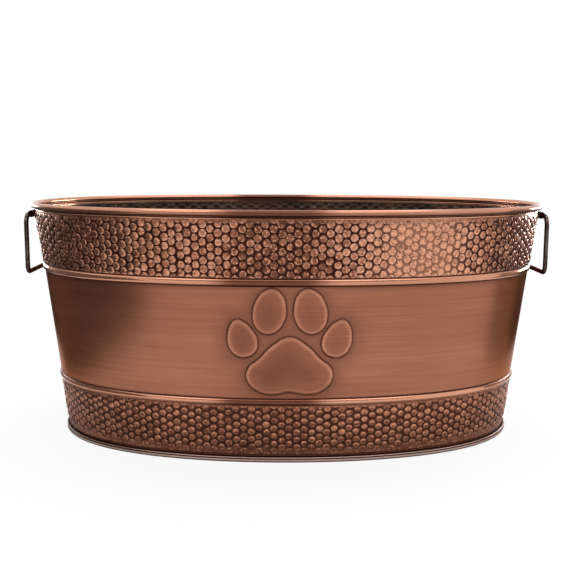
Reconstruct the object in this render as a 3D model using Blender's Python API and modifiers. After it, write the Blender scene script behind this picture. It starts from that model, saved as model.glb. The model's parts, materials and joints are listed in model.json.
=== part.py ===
"""Oval log bucket: a wired, beaded and hammered sheet metal tub with an embossed paw and two drop handles.

Metres, +Z up. The origin is the centre of the foot, the length runs along X and the paw faces -Y.
Every sheet is first drawn as an open surface on its middle plane and then thickened both ways.
"""

import math

import bmesh
import bpy
from mathutils import Matrix, Vector

# Tub, measured over the rolled rim
RIM_LENGTH = 0.508
RIM_WIDTH = 0.330
HEIGHT = 0.2275
FULLNESS_SHARE = 0.014
STATION_COUNT = 60
CLOSE_STATION_SHARE = 0.2
STATION_STEPS = 40

# Sheet and the clearance between touching pieces
SHEET = 0.0006
FIT_GAP = 0.0003
MERGE_DISTANCE = 0.000001

# Wall line: how far the wall's outer face lies inside the rim's outer edge
SHOULDER_INSET = 0.0046
SHOULDER_DROP = 0.0073
FOOT_INSET = 0.0307

# Groove under the rolled rim
NECK_DEPTH = 0.0010
NECK_RISE = 0.0008

# Rolled rim and the wire inside it
RIM_WIRE_DIAMETER = 0.0040
ROLL_TURN = math.radians(270)
ROLL_SEGMENTS = 9

# Swaged beads: the upper one is set out from the rim and the lower one from the foot
UPPER_BEAD_DROP = 0.0623
LOWER_BEAD_HEIGHT = 0.0566
BEAD_WIDTH = 0.0064
BEAD_PROUD = 0.0020
BEAD_SEGMENTS = 4

# Hammered bands: pointed bumps in upright columns, every second column half a pitch higher
BUMP_SPACING = 0.0071
BUMP_PITCH = 0.0078
BUMP_RISE = 0.0012

# Double seam that joins the base pan to the walls
SEAM_HEIGHT = 0.0050
PAN_RISE = 0.0080
PAN_BEND = 0.0012
BEND_SEGMENTS = 2

# Lapped side seams, behind the handles
SIDE_SEAM_REACH = 0.0480
SIDE_SEAM_JOGGLE = 0.0016
SIDE_SEAM_LAP = 0.0100
LAP_CLEARANCE = 0.0015

# How far a cutting shape runs past what it cuts
CUT_OVERRUN = 0.0200

# Embossed paw, which fills the plain band but for these clearances to the beads
RELIEF = 0.0012
PAW_FOOT_CLEARANCE = 0.0038
PAW_TOP_CLEARANCE = 0.0005
TOE_SEGMENTS = 5
PAD_SEGMENTS = 3

# The paw's toes and pad, as shares of its height: where each lies from the paw's foot and how large it is
INNER_TOE_WIDTH_SHARE = 0.296
INNER_TOE_HEIGHT_SHARE = 0.429
INNER_TOE_OUT_SHARE = 0.182
INNER_TOE_UP_SHARE = 0.785
INNER_TOE_TILT = math.radians(9)
OUTER_TOE_WIDTH_SHARE = 0.245
OUTER_TOE_HEIGHT_SHARE = 0.368
OUTER_TOE_OUT_SHARE = 0.424
OUTER_TOE_UP_SHARE = 0.533
OUTER_TOE_TILT = math.radians(-20)
TOE_WIDEST_SHARE = 0.43
PAD_WIDTH_SHARE = 0.801
PAD_HEIGHT_SHARE = 0.554

# Half of the pad's outline from the top centre to the notch, as shares of half its width and its height
PAD_OUTLINE_SHARES = (
    (0.000, 1.000),
    (0.415, 0.845),
    (0.700, 0.630),
    (0.955, 0.460),
    (0.975, 0.240),
    (0.700, 0.040),
    (0.400, 0.000),
    (0.000, 0.042),
)

# Drop handles
HANDLE_WIRE = 0.0044
HANDLE_WIDTH = 0.0824
HANDLE_DROP = 0.0553
HANDLE_TOP_CORNER = 0.0090
HANDLE_LOWER_CORNER = 0.0065
HANDLE_END_GAP = 0.0040
CORNER_SEGMENTS = 5

# Ears that carry the handles
EAR_SHEET = 0.0009
EAR_WIDTH = 0.0480
EAR_PIVOT_DROP = 0.0124
EAR_PLATE_TOP_DROP = 0.0200
EAR_PLATE_FOOT_DROP = 0.0320
EAR_CURL = math.radians(300)
EAR_CURL_SEGMENTS = 10

# Rivets through the ears and the wall
RIVET_SPACING = 0.0260
RIVET_DROP = 0.0260
RIVET_SHANK = 0.0040
RIVET_HEAD = 0.0080
RIVET_HEAD_RISE = 0.0022
RIVET_TAIL = 0.0066
RIVET_TAIL_RISE = 0.0014
RIVET_SIDES = 12
HOLE_SIDES = 16

# A rivet head's crown, as shares of half its width and of its rise, and the flat on its tail
RIVET_CROWN_SHARES = ((0.0, 1.0), (0.4, 0.9), (0.76, 0.6), (1.0, 0.0))
RIVET_TAIL_FLAT_SHARE = 0.8

# Values that follow from the sizes above
HALF_LENGTH = RIM_LENGTH / 2
HALF_WIDTH = RIM_WIDTH / 2
HALF_SHEET = SHEET / 2
LAYER_STEP = SHEET + FIT_GAP
SHOULDER_HEIGHT = HEIGHT - SHOULDER_DROP
ROLL_RADIUS = RIM_WIRE_DIAMETER / 2 + FIT_GAP + HALF_SHEET
ROLL_INSET = ROLL_RADIUS + HALF_SHEET
ROLL_HEIGHT = HEIGHT - ROLL_RADIUS - HALF_SHEET
FOOT_LINE = FOOT_INSET + HALF_SHEET
FOOT_TURN_HEIGHT = SHEET + FIT_GAP + HALF_SHEET + LAYER_STEP
SEAM_TURN_HEIGHT = SEAM_HEIGHT - HALF_SHEET - LAYER_STEP
BARREL_RADIUS = HANDLE_WIRE / 2 + FIT_GAP + EAR_SHEET / 2
PIVOT_HEIGHT = HEIGHT - EAR_PIVOT_DROP
UPPER_BEAD_HEIGHT = HEIGHT - UPPER_BEAD_DROP
LAP_FOOT_HEIGHT = SEAM_HEIGHT + LAP_CLEARANCE
LAP_TOP_HEIGHT = SHOULDER_HEIGHT - LAP_CLEARANCE
HAMMERED_BANDS = (
    (LAP_FOOT_HEIGHT, LOWER_BEAD_HEIGHT - BEAD_WIDTH / 2),
    (UPPER_BEAD_HEIGHT + BEAD_WIDTH / 2, LAP_TOP_HEIGHT),
)
PAW_FOOT = LOWER_BEAD_HEIGHT + BEAD_WIDTH / 2 + PAW_FOOT_CLEARANCE
PAW_TOP = UPPER_BEAD_HEIGHT - BEAD_WIDTH / 2 - PAW_TOP_CLEARANCE
PAW_HEIGHT = PAW_TOP - PAW_FOOT

# Finishes: colour, roughness and metallic value
COPPER = ((0.34, 0.17, 0.115, 1.0), 0.34, 0.9)
DARK_COPPER = ((0.20, 0.10, 0.07, 1.0), 0.5, 0.85)
OILED_STEEL = ((0.07, 0.045, 0.038, 1.0), 0.42, 0.9)


def clear_scene():
    """Remove whatever the scene holds, so that the file can be run again."""
    for thing in list(bpy.data.objects):
        bpy.data.objects.remove(thing, do_unlink=True)


def make_collection(name):
    """Return a new collection linked to the scene."""
    collection = bpy.data.collections.new(name)
    bpy.context.scene.collection.children.link(collection)
    return collection


def give_finish(thing, finish):
    """Give an object its own material."""
    colour, roughness, metallic = finish
    material = bpy.data.materials.new(thing.name)
    material.use_nodes = True
    shader = material.node_tree.nodes["Principled BSDF"]
    shader.inputs["Base Color"].default_value = colour
    shader.inputs["Roughness"].default_value = roughness
    shader.inputs["Metallic"].default_value = metallic
    thing.data.materials.append(material)


def add_object(name, data, collection):
    """Link a new object for the given data."""
    thing = bpy.data.objects.new(name, data)
    collection.objects.link(thing)
    return thing


def as_cutter(thing):
    """Mark an object as a tool that only shapes other objects."""
    thing.hide_render = True
    thing.display_type = "WIRE"
    return thing


# Plan of the tub


def plan_point(angle):
    """Return a point of the rim's outer edge: an ellipse made a little fuller at its corners."""
    x = (1 + FULLNESS_SHARE) * math.cos(angle) - FULLNESS_SHARE * math.cos(3 * angle)
    y = (1 + FULLNESS_SHARE) * math.sin(angle) + FULLNESS_SHARE * math.sin(3 * angle)
    return Vector((HALF_LENGTH * x, HALF_WIDTH * y, 0))


def plan_slope(angle):
    """Return how the rim's outer edge moves for each radian."""
    x = 3 * FULLNESS_SHARE * math.sin(3 * angle) - (1 + FULLNESS_SHARE) * math.sin(angle)
    y = (1 + FULLNESS_SHARE) * math.cos(angle) + 3 * FULLNESS_SHARE * math.cos(3 * angle)
    return Vector((HALF_LENGTH * x, HALF_WIDTH * y, 0))


def plan_normal(angle):
    """Return the outward direction, square to the rim's outer edge."""
    slope = plan_slope(angle).normalized()
    return Vector((slope.y, -slope.x, 0))


def place(angle, inset, height):
    """Return the point that lies inset from the rim's outer edge, at a height."""
    point = plan_point(angle) - plan_normal(angle) * inset
    point.z = height
    return point


def angle_at_reach(reach, inset):
    """Return the angle near the right-hand end where an inset curve is this far from the centre line."""
    low = 0.0
    high = math.pi / 2
    while high - low > MERGE_DISTANCE:
        middle = (low + high) / 2
        if place(middle, inset, 0).y < reach:
            low = middle
        else:
            high = middle
    return low


def angle_along(angle, distance):
    """Return the angle that lies a short distance further along the edge."""
    return angle + distance / plan_slope(angle).length


EAR_EDGE = angle_at_reach(EAR_WIDTH / 2, SHOULDER_INSET)
SEAM_START = angle_at_reach(SIDE_SEAM_REACH, SHOULDER_INSET)
SEAM_STEP = angle_along(SEAM_START, SIDE_SEAM_JOGGLE)
SEAM_END = angle_along(SEAM_STEP, SIDE_SEAM_LAP)


def even_stations():
    """Return angles that divide the rim's edge into equal lengths, starting from the right-hand end."""
    steps = STATION_COUNT * STATION_STEPS
    angles = [math.tau * index / steps for index in range(steps + 1)]
    lengths = [0.0]
    for start, end in zip(angles, angles[1:]):
        lengths.append(lengths[-1] + (plan_point(end) - plan_point(start)).length)
    stations = []
    for index in range(STATION_COUNT):
        target = lengths[-1] * index / STATION_COUNT
        nearest = min(range(steps), key=lambda step: abs(lengths[step] - target))
        stations.append(angle_along(angles[nearest], target - lengths[nearest]))
    return stations


def tub_stations():
    """Return the angles round the tub that every swept piece shares, so that their flats line up."""
    special = []
    for angle in (EAR_EDGE, -EAR_EDGE, SEAM_START, SEAM_STEP, SEAM_END):
        special.append(angle % math.tau)
        special.append((math.pi - angle) % math.tau)
    stations = list(special)
    for angle in even_stations():
        nearest = min(abs(angle - other) for other in special)
        if nearest > math.tau / STATION_COUNT * CLOSE_STATION_SHARE:
            stations.append(angle)
    return sorted(stations)


STATIONS = tub_stations()


def stations_between(start, end):
    """Return the shared stations from start to end, with both ends kept exactly."""
    inner = []
    for turn in (-math.tau, 0, math.tau):
        for angle in STATIONS:
            if start + MERGE_DISTANCE < angle + turn < end - MERGE_DISTANCE:
                inner.append(angle + turn)
    return [start] + inner + [end]


# Profiles, as points of inset and height


def wall_line(height):
    """Return the inset of the wall's middle plane at a height."""
    rise = (height - SEAM_HEIGHT) / (SHOULDER_HEIGHT - SEAM_HEIGHT)
    return FOOT_LINE + (SHOULDER_INSET - FOOT_INSET) * rise


def arc(centre, radius, start, end, segments):
    """Return points of an arc; angle zero points inwards and a quarter turn points up."""
    points = []
    for index in range(segments + 1):
        angle = start + (end - start) * index / segments
        points.append((centre[0] + radius * math.cos(angle), centre[1] + radius * math.sin(angle)))
    return points


def bead(height):
    """Return the points of a half-round bead pushed out of the wall."""
    lower = Vector((wall_line(height - BEAD_WIDTH / 2), height - BEAD_WIDTH / 2))
    upper = Vector((wall_line(height + BEAD_WIDTH / 2), height + BEAD_WIDTH / 2))
    half = (upper - lower) / 2
    radius = (half.length_squared + BEAD_PROUD ** 2) / (2 * BEAD_PROUD)
    spread = math.atan2(half.length, radius - BEAD_PROUD)
    outward = Vector((-half.y, half.x)).normalized()
    centre = (lower + upper) / 2 - outward * (radius - BEAD_PROUD)
    points = []
    for index in range(BEAD_SEGMENTS + 1):
        swing = spread * (2 * index / BEAD_SEGMENTS - 1)
        point = centre + outward * radius * math.cos(swing) + half.normalized() * radius * math.sin(swing)
        points.append((point.x, point.y))
    return points


def wall_profile():
    """Return the wall from its hook in the foot seam up to its roll, and the rows that the lap covers."""
    hook = [(FOOT_LINE - 2 * LAYER_STEP, SEAM_TURN_HEIGHT)]
    turn_centre = (FOOT_LINE - LAYER_STEP, FOOT_TURN_HEIGHT)
    turn = arc(turn_centre, LAYER_STEP, math.pi, math.tau, 2 * BEND_SEGMENTS)
    foot = [(FOOT_LINE, SEAM_HEIGHT), (wall_line(LAP_FOOT_HEIGHT), LAP_FOOT_HEIGHT)]
    side = bead(LOWER_BEAD_HEIGHT) + bead(UPPER_BEAD_HEIGHT)
    shoulder = [(wall_line(LAP_TOP_HEIGHT), LAP_TOP_HEIGHT), (wall_line(SHOULDER_HEIGHT), SHOULDER_HEIGHT)]
    neck = [(wall_line(SHOULDER_HEIGHT) + NECK_DEPTH, SHOULDER_HEIGHT + NECK_RISE)]
    roll = arc((ROLL_INSET, ROLL_HEIGHT), ROLL_RADIUS, 0, ROLL_TURN, ROLL_SEGMENTS)
    points = hook + turn + foot + side + shoulder + neck + roll
    first = len(hook + turn + foot) - 1
    last = first + len(side) + 1
    return points, first, last


def pan_profile():
    """Return the base pan from its floor's edge, down, under the wall and over the wall's hook."""
    floor_height = PAN_RISE + HALF_SHEET
    flange = FOOT_LINE + LAYER_STEP
    bend_centre = (flange + PAN_BEND, floor_height - PAN_BEND)
    floor_bend = arc(bend_centre, PAN_BEND, math.pi / 2, math.pi, BEND_SEGMENTS)
    low = HALF_SHEET + LAYER_STEP
    inner_bend = arc((FOOT_LINE, low), LAYER_STEP, 0, -math.pi / 2, BEND_SEGMENTS)
    outer_bend = arc((FOOT_LINE - 2 * LAYER_STEP, low), LAYER_STEP, -math.pi / 2, -math.pi, BEND_SEGMENTS)
    top_centre = (FOOT_LINE - 2 * LAYER_STEP, SEAM_TURN_HEIGHT)
    top_turn = arc(top_centre, LAYER_STEP, math.pi, 0, 2 * BEND_SEGMENTS)
    end = [(FOOT_LINE - LAYER_STEP, FOOT_TURN_HEIGHT)]
    return floor_bend + inner_bend + outer_bend + top_turn + end


def offset_profile(points, distance):
    """Return a profile moved outwards, square to itself, with its corners mitred."""
    moved = []
    for index, point in enumerate(points):
        here = Vector(point)
        before = Vector(points[max(index - 1, 0)])
        after = Vector(points[min(index + 1, len(points) - 1)])
        normals = []
        for run in (here - before, after - here):
            if run.length > MERGE_DISTANCE:
                normals.append(Vector((-run.y, run.x)).normalized())
        outward = sum(normals, Vector((0, 0))).normalized()
        shift = here + outward * distance / outward.dot(normals[0])
        moved.append((shift.x, shift.y))
    return moved


# Sheets


def wrap_grid(bm, columns):
    """Add a grid and lay it over columns of points."""
    across = len(columns)
    down = len(columns[0])
    grid = bmesh.ops.create_grid(bm, x_segments=across - 1, y_segments=down - 1, size=1)
    for index, vert in enumerate(grid["verts"]):
        row, column = divmod(index, across)
        vert.co = columns[column][row]


def sweep(profile, angles):
    """Return one column of points for each angle."""
    return [[place(angle, inset, height) for inset, height in profile] for angle in angles]


def sheet_object(name, bm, thickness, collection):
    """Turn an open surface into a sheet of even thickness."""
    bmesh.ops.remove_doubles(bm, verts=bm.verts, dist=MERGE_DISTANCE)
    bmesh.ops.recalc_face_normals(bm, faces=bm.faces)
    mesh = bpy.data.meshes.new(name)
    bm.to_mesh(mesh)
    bm.free()
    thing = add_object(name, mesh, collection)
    solidify = thing.modifiers.new("thickness", "SOLIDIFY")
    solidify.thickness = thickness
    solidify.offset = 0
    solidify.use_even_offset = True
    return thing


def clear_of_seams(point):
    """Say whether a point of the wall lies off the side seams, by half a bump or more."""
    inset = wall_line(point.z)
    start = place(SEAM_START, inset, 0).y - BUMP_SPACING / 2
    end = place(SEAM_END, inset, 0).y + BUMP_SPACING / 2
    return not start < point.y < end


def clear_of_ears(point):
    """Say whether a bump with its peak at a point of the wall would stay off the ears."""
    beside = abs(point.y) > EAR_WIDTH / 2 + BUMP_SPACING
    below = point.z < HEIGHT - EAR_PLATE_FOOT_DROP - BUMP_PITCH / 2
    return beside or below


def band_flats(bm, low, high):
    """Return the flats of a wall's outer face that lie in a hammered band."""
    flats = []
    for face in bm.faces:
        middle = face.calc_center_bounds()
        outward = face.normal.dot(Vector((middle.x, middle.y, 0)).normalized())
        if low < middle.z < high and outward > math.sqrt(0.5) and clear_of_seams(middle):
            flats.append(face)
    return flats


def level_edges(face):
    """Return the edges of a flat that run round the tub."""
    return [edge for edge in face.edges if abs(edge.verts[0].co.z - edge.verts[1].co.z) < edge.calc_length() / 2]


def whole_steps(length, step):
    """Return the number of equal steps, one at the least, that divide a length most nearly as asked."""
    return max(1, round(length / step))


def divide_band(bm, low, high):
    """Divide a band's flats into a net, with one mesh across for each column and two up for each pitch."""
    widths = {}
    for face in band_flats(bm, low, high):
        level = level_edges(face)
        width = sum(edge.calc_length() for edge in level) / len(level)
        widths.setdefault(whole_steps(width, BUMP_SPACING), set()).update(level)
    for columns, edges in widths.items():
        bmesh.ops.subdivide_edges(bm, edges=list(edges), cuts=columns - 1)
    upright = set()
    for face in band_flats(bm, low, high):
        upright.update(set(face.edges).difference(level_edges(face)))
    rows = whole_steps(high - low, BUMP_PITCH / 2)
    bmesh.ops.subdivide_edges(bm, edges=list(upright), cuts=rows - 1)


def every_second(first, net):
    """Return the vertices of a net that lie an odd number of steps from its first one."""
    seen = {first}
    chosen = set()
    front = [first]
    odd = False
    while front:
        odd = not odd
        reached = {edge.other_vert(vert) for vert in front for edge in vert.link_edges}
        front = [vert for vert in reached if vert in net and vert not in seen]
        seen.update(front)
        if odd:
            chosen.update(front)
    return chosen


def hammer(wall):
    """Raise the bumps of the two hammered bands on a wall's outer face; its inner face stays plain."""
    bpy.context.view_layer.update()
    evaluated = wall.evaluated_get(bpy.context.evaluated_depsgraph_get())
    mesh = bpy.data.meshes.new_from_object(evaluated)
    bm = bmesh.new()
    bm.from_mesh(mesh)
    for low, high in HAMMERED_BANDS:
        divide_band(bm, low, high)
        bm.normal_update()
        flats = set(band_flats(bm, low, high))
        net = {vert for face in flats for vert in face.verts}
        first = min(net, key=lambda vert: abs(vert.co.x) + vert.co.z)
        peaks = every_second(first, net)
        valleys = list(net - peaks)
        for vert in peaks:
            if flats.issuperset(vert.link_faces) and clear_of_ears(vert.co):
                vert.co += vert.normal * BUMP_RISE
        others = [face for face in bm.faces if face not in flats]
        bmesh.ops.connect_verts(bm, verts=valleys, faces_exclude=others)
    beside = [face for face in bm.faces if len(face.verts) > 4]
    bmesh.ops.triangulate(bm, faces=beside, ngon_method="BEAUTY")
    bm.to_mesh(mesh)
    bm.free()
    wall.modifiers.clear()
    wall.data = mesh


def add_boolean(thing, name, tool, operation):
    """Join, cut or keep what two solids share."""
    boolean = thing.modifiers.new(name, "BOOLEAN")
    boolean.operation = operation
    boolean.object = tool
    boolean.solver = "EXACT"


def front_wall(collection, relief, recess, holes):
    """Make the front panel with its two laps, its hammering, its paw and its rivet holes."""
    profile, first, last = wall_profile()
    bm = bmesh.new()
    wrap_grid(bm, sweep(profile, stations_between(math.pi - SEAM_START, math.tau + SEAM_START)))
    covered = profile[first:last + 1]
    raised = offset_profile(covered, LAYER_STEP)
    for start, step, end in (
        (math.tau + SEAM_START, math.tau + SEAM_STEP, math.tau + SEAM_END),
        (math.pi - SEAM_START, math.pi - SEAM_STEP, math.pi - SEAM_END),
    ):
        wrap_grid(bm, sweep(covered, [start]) + sweep(raised, [step, end]))
    wall = sheet_object("front_wall", bm, SHEET, collection)
    hammer(wall)
    add_boolean(wall, "paw_outside", relief, "UNION")
    add_boolean(wall, "paw_inside", recess, "DIFFERENCE")
    add_boolean(wall, "rivet_holes", holes, "DIFFERENCE")
    give_finish(wall, COPPER)


def rear_wall(collection):
    """Make the rear panel, whose ends lie under the front panel's laps."""
    profile, _, _ = wall_profile()
    bm = bmesh.new()
    wrap_grid(bm, sweep(profile, stations_between(SEAM_STEP, math.pi - SEAM_STEP)))
    wall = sheet_object("rear_wall", bm, SHEET, collection)
    hammer(wall)
    give_finish(wall, COPPER)


def base_pan(collection):
    """Make the raised floor with its skirt, double seamed round the walls' hooks."""
    bm = bmesh.new()
    wrap_grid(bm, sweep(pan_profile(), STATIONS + [STATIONS[0] + math.tau]))
    bmesh.ops.remove_doubles(bm, verts=bm.verts, dist=MERGE_DISTANCE)
    floor_height = PAN_RISE + HALF_SHEET
    rim = []
    for edge in bm.edges:
        if edge.is_boundary and abs(edge.verts[0].co.z - floor_height) < MERGE_DISTANCE:
            rim.append(edge)
    bmesh.ops.holes_fill(bm, edges=rim, sides=0)
    pan = sheet_object("base_pan", bm, SHEET, collection)
    give_finish(pan, DARK_COPPER)


def rim_wire(collection):
    """Make the wire that stiffens the rolled rim."""
    curve = bpy.data.curves.new("rim_wire", "CURVE")
    curve.dimensions = "3D"
    curve.bevel_depth = RIM_WIRE_DIAMETER / 2
    curve.bevel_resolution = 2
    spline = curve.splines.new("POLY")
    spline.points.add(len(STATIONS) - 1)
    for point, angle in zip(spline.points, STATIONS):
        point.co = place(angle, ROLL_INSET, ROLL_HEIGHT).to_4d()
    spline.use_cyclic_u = True
    wire = add_object("rim_wire", curve, collection)
    give_finish(wire, OILED_STEEL)


# Paw


def egg(width, height, out, up, tilt):
    """Return four points of an egg shape, narrow end up, in the plane of X and height."""
    low = height * TOE_WIDEST_SHARE
    corners = (
        Vector((0, height - low)),
        Vector((width / 2, 0)),
        Vector((0, -low)),
        Vector((-width / 2, 0)),
    )
    turn = Matrix.Rotation(tilt, 2)
    centre = Vector((out, up + low - height / 2))
    return [centre + turn @ corner for corner in corners]


def pad_outline(shrink):
    """Return the main pad's outline, mirrored from its right half."""
    half_width = PAW_HEIGHT * PAD_WIDTH_SHARE / 2 - shrink
    height = PAW_HEIGHT * PAD_HEIGHT_SHARE - 2 * shrink
    foot = PAW_FOOT + shrink
    half = [Vector((half_width * x, foot + height * z)) for x, z in PAD_OUTLINE_SHARES]
    mirrored = [Vector((-point.x, point.y)) for point in half[-2:0:-1]]
    return half + mirrored


def paw_outlines(shrink):
    """Return the outlines of the four toes and the pad, each with the segments between its points."""
    outlines = []
    for side in (1, -1):
        inner = egg(
            PAW_HEIGHT * INNER_TOE_WIDTH_SHARE - 2 * shrink,
            PAW_HEIGHT * INNER_TOE_HEIGHT_SHARE - 2 * shrink,
            PAW_HEIGHT * INNER_TOE_OUT_SHARE * side,
            PAW_FOOT + PAW_HEIGHT * INNER_TOE_UP_SHARE,
            side * INNER_TOE_TILT,
        )
        outer = egg(
            PAW_HEIGHT * OUTER_TOE_WIDTH_SHARE - 2 * shrink,
            PAW_HEIGHT * OUTER_TOE_HEIGHT_SHARE - 2 * shrink,
            PAW_HEIGHT * OUTER_TOE_OUT_SHARE * side,
            PAW_FOOT + PAW_HEIGHT * OUTER_TOE_UP_SHARE,
            side * OUTER_TOE_TILT,
        )
        outlines.append((inner, TOE_SEGMENTS))
        outlines.append((outer, TOE_SEGMENTS))
    outlines.append((pad_outline(shrink), PAD_SEGMENTS))
    return outlines


def paw_prisms(name, shrink, collection):
    """Make five prisms of the paw's outlines that reach level through the front wall."""
    curve = bpy.data.curves.new(name, "CURVE")
    curve.dimensions = "2D"
    curve.fill_mode = "BOTH"
    curve.extrude = FOOT_INSET + CUT_OVERRUN
    for points, segments in paw_outlines(shrink):
        spline = curve.splines.new("BEZIER")
        spline.resolution_u = segments
        spline.bezier_points.add(len(points) - 1)
        for knot, point in zip(spline.bezier_points, points):
            knot.co = point.to_3d()
            knot.handle_left_type = "AUTO"
            knot.handle_right_type = "AUTO"
        spline.use_cyclic_u = True
    drawn = add_object(name + "_curve", curve, collection)
    drawn.matrix_world = Matrix.Translation((0, -HALF_WIDTH, 0)) @ Matrix.Rotation(math.pi / 2, 4, "X")
    bpy.context.view_layer.update()
    evaluated = drawn.evaluated_get(bpy.context.evaluated_depsgraph_get())
    mesh = bpy.data.meshes.new_from_object(evaluated)
    bm = bmesh.new()
    bm.from_mesh(mesh)
    bmesh.ops.remove_doubles(bm, verts=bm.verts, dist=MERGE_DISTANCE)
    bmesh.ops.recalc_face_normals(bm, faces=bm.faces)
    bm.to_mesh(mesh)
    bm.free()
    prisms = as_cutter(add_object(name, mesh, collection))
    prisms.matrix_world = drawn.matrix_world
    bpy.data.objects.remove(drawn, do_unlink=True)
    return prisms


def paw_slab(name, near, far, shrink, collection):
    """Make the part of a slab along the wall that lies inside the paw's outlines."""
    low = PAW_FOOT - CUT_OVERRUN
    high = PAW_TOP + CUT_OVERRUN
    line = [(wall_line(low), low), (wall_line(high), high)]
    middle = offset_profile(line, (near + far) / 2)
    bm = bmesh.new()
    wrap_grid(bm, sweep(middle, stations_between(math.pi, math.tau)))
    slab = as_cutter(sheet_object(name, bm, far - near, collection))
    add_boolean(slab, "outline", paw_prisms(name + "_outline", shrink, collection), "INTERSECT")
    return slab


# Ears, handles and rivets


def wall_flat(reach, height, side):
    """Return the point and the frame of the wall's outer flat, at a reach from the centre line."""
    inset = wall_line(height) - HALF_SHEET
    ring = [place(angle, inset, height) for angle in stations_between(-SEAM_START, SEAM_START)]
    for start, end in zip(ring, ring[1:]):
        if start.y <= reach <= end.y:
            break
    along = (end - start).normalized()
    point = start + along * (reach - start.y) / along.y
    steepness = (SHOULDER_INSET - FOOT_INSET) / (SHOULDER_HEIGHT - SEAM_HEIGHT)
    upward = (Vector((along.y, -along.x, 0)) * -steepness + Vector((0, 0, 1))).normalized()
    outward = along.cross(upward).normalized()
    frame = Matrix((along, upward, outward)).transposed().to_4x4()
    frame.translation = point
    if side < 0:
        frame = Matrix.Rotation(math.pi, 4, "Z") @ frame
    return frame


def pivot_reach():
    """Return how far from the centre the handles' pivot lines lie."""
    wall = place(0, wall_line(PIVOT_HEIGHT) - HALF_SHEET, PIVOT_HEIGHT)
    return wall.x + FIT_GAP + EAR_SHEET / 2 + BARREL_RADIUS


def ear(name, side, holes, collection):
    """Make one ear: a plate on the wall whose top is curled into a barrel round the handle."""
    seat = FIT_GAP + HALF_SHEET + EAR_SHEET / 2
    low = HEIGHT - EAR_PLATE_FOOT_DROP
    high = HEIGHT - EAR_PLATE_TOP_DROP
    plate = offset_profile([(wall_line(low), low), (wall_line(high), high)], seat)
    columns = []
    for angle in stations_between(-EAR_EDGE, EAR_EDGE):
        column = [place(angle, inset, height) for inset, height in plate]
        reach = column[-1].y
        for index in range(EAR_CURL_SEGMENTS + 1):
            turn = math.pi - EAR_CURL * index / EAR_CURL_SEGMENTS
            x = pivot_reach() + BARREL_RADIUS * math.cos(turn)
            z = PIVOT_HEIGHT + BARREL_RADIUS * math.sin(turn)
            column.append(Vector((x, reach, z)))
        columns.append(column)
    bm = bmesh.new()
    wrap_grid(bm, columns)
    thing = sheet_object(name, bm, EAR_SHEET, collection)
    if side < 0:
        thing.rotation_euler.z = math.pi
    add_boolean(thing, "rivet_holes", holes, "DIFFERENCE")
    give_finish(thing, OILED_STEEL)


def rounded_path(corners, radii):
    """Return a path whose inner corners are rounded."""
    path = [corners[0]]
    for before, corner, after, radius in zip(corners, corners[1:], corners[2:], radii):
        into = (corner - before).normalized()
        out = (after - corner).normalized()
        half_turn = into.angle(out) / 2
        cut = radius * math.tan(half_turn)
        centre = corner - into * cut + (out - into * into.dot(out)).normalized() * radius
        start = corner - into * cut - centre
        axis = into.cross(out).normalized()
        for index in range(CORNER_SEGMENTS + 1):
            turn = Matrix.Rotation(2 * half_turn * index / CORNER_SEGMENTS, 3, axis)
            path.append(centre + turn @ start)
    path.append(corners[-1])
    return path


def handle(name, side, collection):
    """Make one wire handle, hanging from its pivot line; its two ends face each other in the barrel."""
    half = HANDLE_WIDTH / 2
    tip = HANDLE_END_GAP / 2
    corners = [
        Vector((0, tip, 0)),
        Vector((0, half, 0)),
        Vector((0, half, -HANDLE_DROP)),
        Vector((0, -half, -HANDLE_DROP)),
        Vector((0, -half, 0)),
        Vector((0, -tip, 0)),
    ]
    radii = [HANDLE_TOP_CORNER, HANDLE_LOWER_CORNER, HANDLE_LOWER_CORNER, HANDLE_TOP_CORNER]
    path = rounded_path(corners, radii)
    curve = bpy.data.curves.new(name, "CURVE")
    curve.dimensions = "3D"
    curve.bevel_depth = HANDLE_WIRE / 2
    curve.bevel_resolution = 3
    curve.use_fill_caps = True
    spline = curve.splines.new("POLY")
    spline.points.add(len(path) - 1)
    for point, co in zip(spline.points, path):
        point.co = co.to_4d()
    thing = add_object(name, curve, collection)
    thing.location = (side * pivot_reach(), 0, PIVOT_HEIGHT)
    give_finish(thing, OILED_STEEL)


def rivet_profile():
    """Return the rivet's outer side from the head's crown to the tail's crown, as radius and height."""
    head_seat = FIT_GAP + EAR_SHEET + FIT_GAP
    tail_seat = -SHEET - FIT_GAP
    crown = [(RIVET_HEAD / 2 * out, head_seat + RIVET_HEAD_RISE * up) for out, up in RIVET_CROWN_SHARES]
    shank = [(RIVET_SHANK / 2, head_seat), (RIVET_SHANK / 2, tail_seat)]
    tail_end = tail_seat - RIVET_TAIL_RISE
    tail = [(RIVET_TAIL / 2, tail_seat), (RIVET_TAIL / 2 * RIVET_TAIL_FLAT_SHARE, tail_end), (0, tail_end)]
    return crown + shank + tail


def rivet(name, reach, side, collection):
    """Make one turned rivet and seat it through the ear and the wall."""
    mesh = bpy.data.meshes.new(name)
    bm = bmesh.new()
    verts = [bm.verts.new((radius, 0, height)) for radius, height in rivet_profile()]
    for start, end in zip(verts, verts[1:]):
        bm.edges.new((start, end))
    bm.to_mesh(mesh)
    bm.free()
    thing = add_object(name, mesh, collection)
    screw = thing.modifiers.new("turn", "SCREW")
    screw.steps = RIVET_SIDES
    screw.render_steps = RIVET_SIDES
    screw.use_merge_vertices = True
    screw.merge_threshold = MERGE_DISTANCE
    thing.matrix_world = wall_flat(reach, HEIGHT - RIVET_DROP, side)
    give_finish(thing, OILED_STEEL)


def rivet_places():
    """Return the name, the reach and the side of each rivet."""
    places = []
    for side, hand in ((-1, "left"), (1, "right")):
        for end in (-1, 1):
            word = "front" if end * side < 0 else "rear"
            places.append((hand + "_ear_" + word + "_rivet", end * RIVET_SPACING / 2, side))
    return places


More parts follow.
